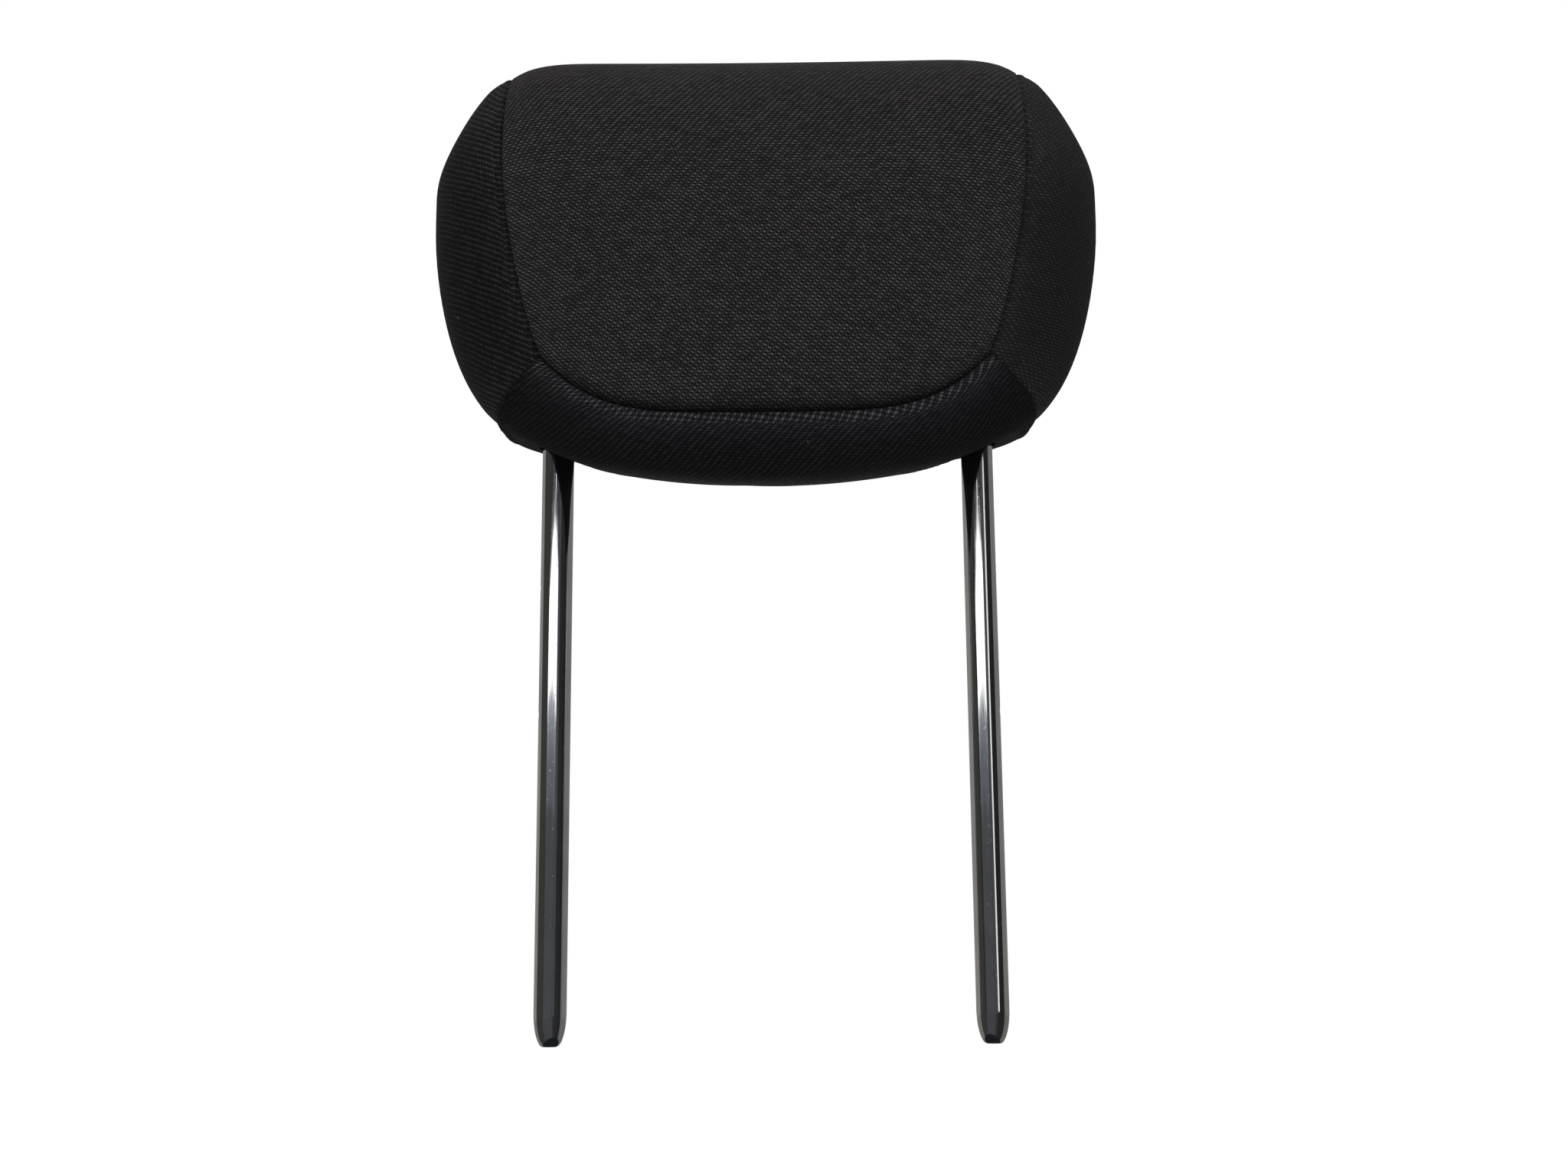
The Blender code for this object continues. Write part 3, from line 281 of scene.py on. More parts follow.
def edge_dense(count, near=0.012, power=1.8):
    """Places from 0 to 1 whose first and last steps are a small share of the others."""
    places = np.linspace(-1, 1, count)
    bowed = np.sign(places) * (1 - (1 - np.abs(places)) ** power)
    mixed = (1 - near) * bowed + near * places
    return (mixed + 1) / 2


def strap_angle(down, start, end):
    """Profile angle a share of the way from the front seam over the top to the rear seam, in nearly
    even steps of length: the form is squarer below its fullest height, so the angle crowds there."""
    front = np.clip(down / STRAP_FRONT_SHARE, 0.0, 1.0)
    over_share = STRAP_REAR_SHARE - STRAP_FRONT_SHARE
    over = np.clip((down - STRAP_FRONT_SHARE) / over_share, 0.0, 1.0)
    rear = np.clip((down - STRAP_REAR_SHARE) / (1 - STRAP_REAR_SHARE), 0.0, 1.0)
    return start * (1 - front) ** FRONT_CROWDING + pi * over + (end - pi) * rear ** REAR_CROWDING


def under_angle(down, start, end):
    """Profile angle a share of the way from the front seam under the cushion to the rear seam."""
    front = np.clip(down / UNDER_FRONT_SHARE, 0.0, 1.0)
    rear = np.clip((down - UNDER_FRONT_SHARE) / (1 - UNDER_FRONT_SHARE), 0.0, 1.0)
    half = pi / 2
    below_front = (start + half) * (1 - front) ** FRONT_CROWDING
    return below_front - half + (end + half) * rear ** REAR_CROWDING


def strap_places(rows, columns):
    """Profile angles and places across of the centre panel's grid."""
    down = edge_dense(rows)[:, None]
    across = (2 * edge_dense(columns) - 1)[None, :]
    edge = strap_angle(down, FRONT_CORNER, BACK_CORNER)
    x = across * (strap_half_width(edge) - SEAM_GAP / 2)
    start, end = seam_angle(x, False, SEAM_GAP / 2), seam_angle(x, True, SEAM_GAP / 2)
    return strap_angle(down, start, end), x


def under_places(rows, columns):
    """Profile angles and places across of the bottom panel's grid."""
    down = edge_dense(rows)[:, None]
    across = (2 * edge_dense(columns) - 1)[None, :]
    edge = under_angle(down, FRONT_CORNER, BACK_CORNER - TURN)
    x = across * mitre_x(edge, -SEAM_GAP / 2)
    start, end = seam_angle(x, False, -SEAM_GAP / 2), seam_angle(x, True, -SEAM_GAP / 2) - TURN
    return under_angle(down, start, end), x


def side_loop(side, count=400):
    """Places round the edge of a side panel, evenly spaced along it."""
    down = np.linspace(0, 1, count)
    strap = strap_angle(down, FRONT_CORNER, BACK_CORNER)
    mitre = under_angle(down[::-1], FRONT_CORNER, BACK_CORNER - TURN)[1:-1] + TURN
    angle = np.concatenate([strap, mitre])
    x = np.concatenate([strap_half_width(strap) + SEAM_GAP / 2, mitre_x(mitre, SEAM_GAP / 2)])
    points = form(angle, x)
    closed = np.vstack([points, points[:1]])
    steps = np.linalg.norm(np.diff(closed, axis=0), axis=1)
    return angle, side * x, np.concatenate([[0.0], np.cumsum(steps)])


def side_places(side, count):
    """A square grid bent to the side panel's outline, its middle on the form's outer end, and for
    each of its points the nearest place on the outline."""
    line = 2 * edge_dense(count) - 1
    i, j = np.meshgrid(line, line, indexing="ij")
    u, v = i * np.sqrt(1 - j * j / 2), j * np.sqrt(1 - i * i / 2)
    radius = np.clip(np.hypot(u, v), 0.0, 1.0)
    way = (np.arctan2(v, u) / TURN) % 1.0
    angle_loop, x_loop, length = side_loop(side)
    wanted = way * length[-1]
    angle = np.interp(wanted, length, np.append(angle_loop, angle_loop[0] + TURN))
    x_edge = np.interp(wanted, length, np.append(x_loop, x_loop[0]))
    out = 1 - radius ** 1.9
    return angle, x_edge + (side * HALF_WIDTH - x_edge) * out, x_edge


# Panels as meshes

def grid_faces(rows, columns):
    index = np.arange(rows * columns).reshape(rows, columns)
    quads = np.stack([index[:-1, :-1], index[:-1, 1:], index[1:, 1:], index[1:, :-1]], axis=-1)
    return quads.reshape(-1, 4)


def grid_object(name, points, uv, shading):
    """A mesh of a grid of points, with its weave's place and its painted light and shade."""
    rows, columns = points.shape[:2]
    mesh = bpy.data.meshes.new(name)
    faces = grid_faces(rows, columns)
    mesh.from_pydata(points.reshape(-1, 3).tolist(), [], faces.tolist())
    layer = mesh.uv_layers.new(name="cloth")
    flat = uv.reshape(-1, 2)
    loops = np.empty(len(mesh.loops), dtype=np.int32)
    mesh.loops.foreach_get("vertex_index", loops)
    layer.data.foreach_set("uv", flat[loops].ravel())
    shades = mesh.attributes.new("painted_shading", "FLOAT", "POINT")
    shades.data.foreach_set("value", shading.ravel())
    item = bpy.data.objects.new(name, mesh)
    bpy.context.scene.collection.objects.link(item)
    return item


def arc(points, axis):
    """Running length along one axis of a grid of points."""
    steps = np.linalg.norm(np.diff(points, axis=axis), axis=-1)
    first = np.zeros_like(np.take(steps, [0], axis=axis))
    return np.concatenate([first, np.cumsum(steps, axis=axis)], axis=axis)


def fold(distance, radius, depth):
    """Depth of a folded edge: a quarter round that ends straight down at the seam."""
    left = np.clip(distance / radius, 0.0, 1.0)
    return depth * (1 - np.sqrt(1 - (1 - left) ** 2))


def seam_relief(distance, radius, depth, pull, pull_reach, lip=0.0, lip_place=0.0, lip_width=1.0):
    """Height of the cloth over the form at a distance from one seam: the folded edge, the pull of the
    thread beyond it and, on some seams, a raised lip."""
    relief = -fold(distance, radius, depth)
    relief = relief - pull * (1 - smooth_step(distance / pull_reach))
    return relief + lip * np.exp(-((distance - lip_place) / lip_width) ** 2)


def puckers(along, spacing, amount, seed):
    """Small uneven pulls along a sewn seam."""
    steps = along / spacing
    return amount * (np.sin(TURN * steps + seed) * 0.6 + np.sin(TURN * steps * 0.43 + 1.7 * seed) * 0.4)


def edge_shade(distance, amount):
    """Painted shade: darker cloth close to a seam, where the fold shades it."""
    return 1 - amount * np.exp(-(distance / SEAM_SHADE_REACH) ** 2)


def edge_distances(points):
    """Distances of a grid's points along the cloth from its front, rear, left and right edge."""
    down, across = arc(points, 0), arc(points, 1)
    return down, down[-1:] - down, across, across[:, -1:] - across


def strip_uv(points, down, across, stretch):
    """Places of the weave in metres, level across and starting at the height of the front edge."""
    middle = np.take(across, across.shape[1] // 2, axis=1)[:, None]
    return np.stack([across - middle, points[0, :, 2][None, :] + stretch * down], axis=-1)


def nearest(*distances):
    return np.minimum.reduce(distances)


def swell_cloth(item, pinned, frames):
    """Blow the panel up as pinned cloth and return its vertices after the last frame."""
    group = item.vertex_groups.new(name="pinned")
    group.add([int(i) for i in np.flatnonzero(pinned)], 1.0, "REPLACE")
    cloth = item.modifiers.new("cloth", "CLOTH")
    settings = cloth.settings
    settings.quality = 6
    settings.mass = 0.25
    settings.tension_stiffness = settings.compression_stiffness = 12
    settings.shear_stiffness = 6
    settings.bending_stiffness = 0.6
    settings.vertex_group_mass = "pinned"
    settings.pin_stiffness = 1.0
    settings.use_pressure = True
    settings.uniform_pressure_force = CLOTH_PRESSURE
    settings.effector_weights.gravity = 0
    cloth.collision_settings.use_collision = False
    cloth.point_cache.frame_start = 1
    cloth.point_cache.frame_end = frames
    scene = bpy.context.scene
    for number in range(1, frames + 1):
        scene.frame_set(number)
    graph = bpy.context.evaluated_depsgraph_get()
    swollen = item.evaluated_get(graph).to_mesh()
    points = np.empty(len(swollen.vertices) * 3)
    swollen.vertices.foreach_get("co", points)
    item.evaluated_get(graph).to_mesh_clear()
    item.modifiers.remove(cloth)
    item.vertex_groups.remove(group)
    scene.frame_set(1)
    return points.reshape(-1, 3)


def cloth_panel(name, angle, x, relief, distance, shading, uv, material):
    """A cover panel: its form with the seam relief, let go as cloth within narrow limits."""
    base, normal = form(angle, x), outward(angle, x)
    target = base + normal * relief[..., None]
    inside = START_INSIDE * smooth_step((distance - PIN_REACH) / START_REACH)
    slack = target - normal * inside[..., None]
    item = grid_object(name, slack, uv, shading)
    swollen = swell_cloth(item, (distance < PIN_REACH).ravel(), CLOTH_FRAMES)
    slide = swollen.reshape(target.shape) - target
    lift = np.clip((slide * normal).sum(axis=-1), -SINK_LIMIT, SWELL_LIMIT)
    slide = slide - normal * (slide * normal).sum(axis=-1, keepdims=True)
    points = target + normal * lift[..., None] + np.clip(slide, -SLIDE_LIMIT, SLIDE_LIMIT)
    item.data.vertices.foreach_set("co", points.ravel())
    item.data.update()
    shell = item.modifiers.new("thickness", "SOLIDIFY")
    shell.thickness = COVER_THICKNESS
    shell.offset = -1
    item.data.shade_smooth()
    item.data.materials.append(material)
    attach(item, "root")
    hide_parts(name.replace("fabric_", "cover_"))
    return item


def centre_panel(material):
    """From the front seam over the top to the rear seam. Its front edge is a deep fold, darkened into
    it by painted shade.
    """
    angle, x = strap_places(*CENTRE_GRID)
    points = form(angle, x)
    front, rear, left, right = edge_distances(points)
    uv = strip_uv(points, front, left, 1.0)
    relief = seam_relief(front, radius=3.6 * MM, depth=3.0 * MM, pull=1.2 * MM, pull_reach=14 * MM)
    relief = relief + puckers(left, 9 * MM, 0.06 * MM, seed=1.0) * np.exp(-front / (5 * MM))
    relief = relief + seam_relief(rear, radius=2.0 * MM, depth=2.2 * MM,
                                  pull=0.6 * MM, pull_reach=10 * MM)
    for edge, seed in ((left, 2.0), (right, 3.0)):
        relief = relief + seam_relief(edge, radius=1.5 * MM, depth=1.9 * MM,
                                      pull=0.5 * MM, pull_reach=9 * MM)
        relief = relief + puckers(front, 11 * MM, 0.05 * MM, seed) * np.exp(-edge / (3 * MM))
    # Painted shade: the cloth darkens to near black into the front fold, and a little at the other
    # seams
    fold_shade = 1 - 0.88 * np.exp(-(front / (3.4 * MM)) ** 1.4)
    shading = fold_shade * edge_shade(nearest(left, right, rear), 0.35)
    distance = nearest(front, rear, left, right)
    cloth_panel("fabric_centre_panel", angle, x, relief, distance, shading, uv,
                material)


def bottom_panel(material):
    """From the front seam under the cushion to the rear seam. Its front lip catches the light, painted
    as lighter cloth near the front seam, with painted shade further under.
    """
    angle, x = under_places(*BOTTOM_GRID)
    points = form(angle, x)
    front, rear, left, right = edge_distances(points)
    uv = strip_uv(points, front, left, BOTTOM_STRETCH)
    relief = seam_relief(front, radius=1.0 * MM, depth=1.6 * MM, pull=0.0, pull_reach=8 * MM,
                         lip=0.7 * MM, lip_place=1.6 * MM, lip_width=1.5 * MM)
    relief = relief + puckers(left, 5 * MM, 0.05 * MM, seed=4.0) * np.exp(-front / (2 * MM))
    relief = relief + seam_relief(rear, radius=1.5 * MM, depth=1.8 * MM,
                                  pull=0.4 * MM, pull_reach=8 * MM)
    for edge in (left, right):
        relief = relief + seam_relief(edge, radius=1.4 * MM, depth=1.8 * MM,
                                      pull=0.0, pull_reach=8 * MM,
                                      lip=0.5 * MM, lip_place=2.0 * MM, lip_width=1.8 * MM)
    # Painted light near the front seam, where the lip catches the light, and painted shade further
    # under the cushion
    lip_light_and_shade = 0.38 + 0.77 * np.exp(-front / (6 * MM))
    shading = lip_light_and_shade * edge_shade(nearest(left, right, rear), 0.35)
    distance = nearest(front, rear, left, right)
    item = cloth_panel("fabric_bottom_panel", angle, x, relief, distance, shading, uv,
                       material)
    for side, label in ((-1, "left"), (1, "right")):
        cut_round(item, "post_hole_" + label, side * POST_X, POST_HOLE_RADIUS)


def side_panel(label, side, material, near_seam, painted_top_light):
    """From its seam out to the cushion's end, lighter by given amounts near the seam and, as painted
    light, near the top, with painted shade right at the seam.
    """
    angle, x, edge_x = side_places(side, SIDE_GRID)
    points = form(angle, x)
    distance = np.linalg.norm(points - form(angle, edge_x), axis=-1)
    relief = seam_relief(distance, radius=1.5 * MM, depth=1.9 * MM, pull=1.2 * MM, pull_reach=9 * MM)
    turn = np.arctan2((points[..., 0] - side * WRAP_X) / WRAP_HALF_WIDTH,
                      -(points[..., 1] - CUSHION_AXIS_Y) / WRAP_RADIUS)
    uv = np.stack([WRAP_RADIUS * turn, SIDE_STRETCH * points[..., 2]], axis=-1)
    shading = 0.9 + near_seam * np.exp(-distance / (10 * MM))
    # Painted light: lighter towards the top, where the light falls on it
    shading = shading * (1 + painted_top_light * smooth_step((points[..., 2] - 0.29) / 0.07))
    shading = shading / 1.5 * edge_shade(distance, 0.4)
    if side > 0:
        angle, x, relief, distance, shading, uv = [
            np.swapaxes(a, 0, 1) for a in (angle, x, relief, distance, shading, uv)]
    name = "fabric_side_panel_" + label
    cloth_panel(name, angle, x, relief, distance, shading, uv, material)


def seam_cord(name, angle, x, closed, material):
    """The sewn allowance under a seam, as a round cord that backs its gap."""
    points = form(angle, x) - outward(angle, x) * SEAM_CORD_DEPTH
    curve = bpy.data.curves.new(name, "CURVE")
    curve.dimensions = "3D"
    curve.bevel_depth = SEAM_CORD_RADIUS
    curve.bevel_resolution = 2
    curve.use_fill_caps = True
    spline = curve.splines.new("POLY")
    spline.points.add(len(points) - 1)
    spline.points.foreach_set("co", np.column_stack([points, np.ones(len(points))]).ravel())
    spline.use_cyclic_u = closed
    item = bpy.data.objects.new(name, curve)
    bpy.context.scene.collection.objects.link(item)
    curve.materials.append(material)
    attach(item, "root")


def seam_cords(material):
    across = np.linspace(-1, 1, 90)
    for back, label in ((False, "front"), (True, "rear")):
        x = across * (CORNER_HALF_WIDTH - 1 * MM)
        seam_cord("seam_cord_" + label, seam_angle(x, back), x, False, material)
    for side, label in ((-1, "left"), (1, "right")):
        angle, x, _ = side_loop(side, 120)
        seam_cord("seam_cord_" + label, angle, x, True, material)


def cut_round(item, name, x, radius):
    """Cut a round hole for a post through a cover panel."""
    bpy.ops.mesh.primitive_cylinder_add(vertices=64, radius=radius, depth=60 * MM,
                                        location=(x, 0, SEAT_HEIGHT))
    cutter = bpy.context.active_object
    cutter.name = name
    cut = item.modifiers.new(name, "BOOLEAN")
    cut.operation = "DIFFERENCE"
    cut.solver = "EXACT"
    cut.object = cutter
    apply_modifiers(item)
    bpy.data.objects.remove(cutter, do_unlink=True)


def apply_modifiers(item):
    """Replace the mesh by what its modifiers make of it."""
    bpy.context.view_layer.update()
    graph = bpy.context.evaluated_depsgraph_get()
    mesh = bpy.data.meshes.new_from_object(item.evaluated_get(graph))
    item.modifiers.clear()
    item.data = mesh


# Bar and bezels

def bar_path():
    """Places along the bar in X and Z with its radius, from the left tip to the right tip."""
    left = []
    for share in np.linspace(0, 1, TIP_RINGS):
        rounding = (1 - (1 - share) ** 2.0) ** 0.85
        radius = TIP_FLAT_RADIUS + (BAR_RADIUS - TIP_FLAT_RADIUS) * rounding
        left.append((-POST_X, TIP_LENGTH * share ** 1.25, radius))
    for height in np.linspace(TIP_LENGTH, BAR_TOP - BAR_BEND_RADIUS, POST_RINGS)[1:-1]:
        left.append((-POST_X, height, BAR_RADIUS))
    for turn in np.linspace(0, pi / 2, BEND_RINGS):
        inwards, down = BAR_BEND_RADIUS * (1 - cos(turn)), BAR_BEND_RADIUS * (1 - sin(turn))
        left.append((-POST_X + inwards, BAR_TOP - down, BAR_RADIUS))
    return left + [(-x, z, r) for x, z, r in reversed(left)]


def rod_frame(material):
    """The bent bar as a swept circle, with its height notches cut in."""
    path = bar_path()
    sides = BAR_SIDES
    turns = np.linspace(0, TURN, sides, endpoint=False)
    rings = []
    for k, (x, z, radius) in enumerate(path):
        before, after = path[max(k - 1, 0)], path[min(k + 1, len(path) - 1)]
        along = Vector((after[0] - before[0], 0, after[1] - before[1])).normalized()
        side = Vector((0, 1, 0)).cross(along)
        for turn in turns:
            out = side * cos(turn) + Vector((0, 1, 0)) * sin(turn)
            rings.append(Vector((x, 0, z)) + out * radius)
    faces = []
    for k in range(len(path) - 1):
        for c in range(sides):
            a, b = k * sides + c, k * sides + (c + 1) % sides
            faces.append((a, b, b + sides, a + sides))
    faces.append(tuple(range(sides)))
    faces.append(tuple(range(len(rings) - sides, len(rings))))
    mesh = bpy.data.meshes.new("chrome_bar")
    mesh.from_pydata(rings, [], faces)
    item = bpy.data.objects.new("chrome_bar", mesh)
    bpy.context.scene.collection.objects.link(item)
    tidy_normals(item)
    cut_notch(item, -1, LOCK_NOTCH_HEIGHT)
    cut_notch(item, 1, LOCK_NOTCH_HEIGHT)
    cut_notch(item, -1, STOP_NOTCH_HEIGHT)
    item.data.materials.clear()
    item.data.materials.append(material)
    item.data.shade_smooth()
    item.data.set_sharp_from_angle(angle=radians(32))
    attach(item, "root")
    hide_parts("rod_frame")


def tidy_normals(item):
    """Turn all faces outwards."""
    work = bmesh.new()
    work.from_mesh(item.data)
    bmesh.ops.recalc_face_normals(work, faces=work.faces)
    work.to_mesh(item.data)
    work.free()


def cut_notch(item, side, height):
    """A notch with a flat foot and a sloping head, on the post's outer back."""
    floor, out = BAR_RADIUS - NOTCH_DEPTH, BAR_RADIUS + 4 * MM
    slope = NOTCH_HEIGHT * 0.55
    outline = [(floor, 0.0), (out, 0.0),
               (out, NOTCH_HEIGHT + slope), (floor, NOTCH_HEIGHT - slope)]
    direction = Vector((side * cos(NOTCH_TURN), sin(NOTCH_TURN), 0))
    across = Vector((-direction.y, direction.x, 0))
    foot = Vector((side * POST_X, 0, height - NOTCH_HEIGHT / 2))
    points = [foot + across * reach + direction * d + Vector((0, 0, z))
              for reach in (-2 * BAR_RADIUS, 2 * BAR_RADIUS) for d, z in outline]
    faces = [(0, 1, 2, 3), (7, 6, 5, 4), (0, 4, 5, 1), (1, 5, 6, 2), (2, 6, 7, 3), (3, 7, 4, 0)]
    mesh = bpy.data.meshes.new("notch")
    mesh.from_pydata(points, [], faces)
    cutter = bpy.data.objects.new("notch", mesh)
    bpy.context.scene.collection.objects.link(cutter)
    tidy_normals(cutter)
    cut = item.modifiers.new("notch", "BOOLEAN")
    cut.operation = "DIFFERENCE"
    cut.solver = "EXACT"
    cut.object = cutter
    apply_modifiers(item)
    bpy.data.objects.remove(cutter, do_unlink=True)


def bezel(label, x, material):
    """Turned bezel with rounded edges, over the place of its CAD solid."""
    top = BEZEL_TOP
    profile = [(BEZEL_BORE, top + BEZEL_DEPTH), (BEZEL_NECK, top + BEZEL_DEPTH), (BEZEL_NECK, top)]
    for turn in np.linspace(0, pi / 2, 6):
        profile.append((BEZEL_FLANGE - 0.5 * MM * (1 - cos(turn)), top - 0.4 * MM * sin(turn)))
    for turn in np.linspace(0, pi / 2, 8):
        profile.append((BEZEL_FLANGE - 0.5 * MM - 1.2 * MM * sin(turn),
                        top - 0.4 * MM - 1.1 * MM * sin(turn) ** 1.5))
    profile.append((BEZEL_BORE, top - 1.3 * MM))
    sides = BEZEL_SIDES
    points, faces = [], []
    for k, (radius, height) in enumerate(profile):
        for turn in np.linspace(0, TURN, sides, endpoint=False):
            points.append((x + radius * cos(turn), radius * sin(turn), height))
    for k in range(len(profile)):
        for c in range(sides):
            d, following = (c + 1) % sides, (k + 1) % len(profile)
            a, b = k * sides, following * sides
            faces.append((a + c, a + d, b + d, b + c))
    mesh = bpy.data.meshes.new("bezel_" + label)
    mesh.from_pydata(points, [], faces)
    item = bpy.data.objects.new("bezel_" + label, mesh)
    bpy.context.scene.collection.objects.link(item)
    tidy_normals(item)
    mesh.materials.append(material)
    mesh.shade_smooth()
    mesh.set_sharp_from_angle(angle=radians(40))
    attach(item, "root")
    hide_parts("post_bezel_" + label)


# Materials

class Graph:
    """A material's node tree with short calls for its nodes."""

    def __init__(self, name):
        self.material = bpy.data.materials.new(name)
        self.material.use_nodes = True
        self.tree = self.material.node_tree
        self.shader = self.tree.nodes["Principled BSDF"]

    def node(self, kind, **settings):
        item = self.tree.nodes.new(kind)
        for key, value in settings.items():
            setattr(item, key, value)
        return item

    def feed(self, socket, value):
        if isinstance(value, bpy.types.NodeSocket):
            self.tree.links.new(value, socket)
        elif value is not None:
            socket.default_value = value

    def math(self, operation, first, second=None, clamp=False):
        item = self.node("ShaderNodeMath", operation=operation, use_clamp=clamp)
        for socket, value in zip(item.inputs, (first, second)):
            self.feed(socket, value)
        return item.outputs[0]

    def mix(self, share, first, second):
        item = self.node("ShaderNodeMix", data_type="RGBA")
        self.feed(item.inputs["Factor"], share)
        for label, value in (("A", first), ("B", second)):
            socket = [s for s in item.inputs if s.name == label and s.type == "RGBA"][0]
            linked = isinstance(value, bpy.types.NodeSocket)
            self.feed(socket, value if linked else (*value, 1.0))
        return [s for s in item.outputs if s.type == "RGBA"][0]

    def noise(self, vector, scale, detail=2.0, roughness=0.5):
        item = self.node("ShaderNodeTexNoise")
        self.feed(item.inputs["Vector"], vector)
        item.inputs["Scale"].default_value = scale
        item.inputs["Detail"].default_value = detail
        item.inputs["Roughness"].default_value = roughness
        return item.outputs["Fac"]

    def vector(self, x, y, z=0.0):
        """Coordinates joined into a vector."""
        item = self.node("ShaderNodeCombineXYZ")
        for socket, value in zip(item.inputs, (x, y, z)):
            self.feed(socket, value)
        return item.outputs[0]

    def spread(self, value, low, high, to_low=0.0, to_high=1.0):
        """The value's place between two limits, as the same place between two others."""
        item = self.node("ShaderNodeMapRange")
        self.feed(item.inputs["Value"], value)
        keys = ("From Min", "From Max", "To Min", "To Max")
        for key, number in zip(keys, (low, high, to_low, to_high)):
            item.inputs[key].default_value = number
        return item.outputs[0]

    def position(self):
        return self.node("ShaderNodeTexCoord").outputs["Object"]

    def separate(self, vector):
        item = self.node("ShaderNodeSeparateXYZ")
        self.feed(item.inputs[0], vector)
        return item.outputs

    def output(self):
        found = [n for n in self.tree.nodes if n.bl_idname == "ShaderNodeOutputMaterial"]
        return found[0].inputs["Surface"]

    def bump(self, height, distance, strength=1.0, after=None):
        item = self.node("ShaderNodeBump")
        item.inputs["Distance"].default_value = distance
        item.inputs["Strength"].default_value = strength
        self.feed(item.inputs["Height"], height)
        if after is not None:
            self.feed(item.inputs["Normal"], after)
        return item.outputs[0]


def blob(graph, across, along, half_across, half_along):
    """A rounded pillow: one in its middle, falling to zero on an ellipse."""
    parts = []
    for value, half, power in ((across, half_across, 2.4), (along, half_along, 2.0)):
        share = graph.math("DIVIDE", graph.math("ABSOLUTE", value), half)
        parts.append(graph.math("POWER", share, power))
    return graph.math("MAXIMUM", graph.math("SUBTRACT", 1.0, graph.math("ADD", *parts)), 0.0)


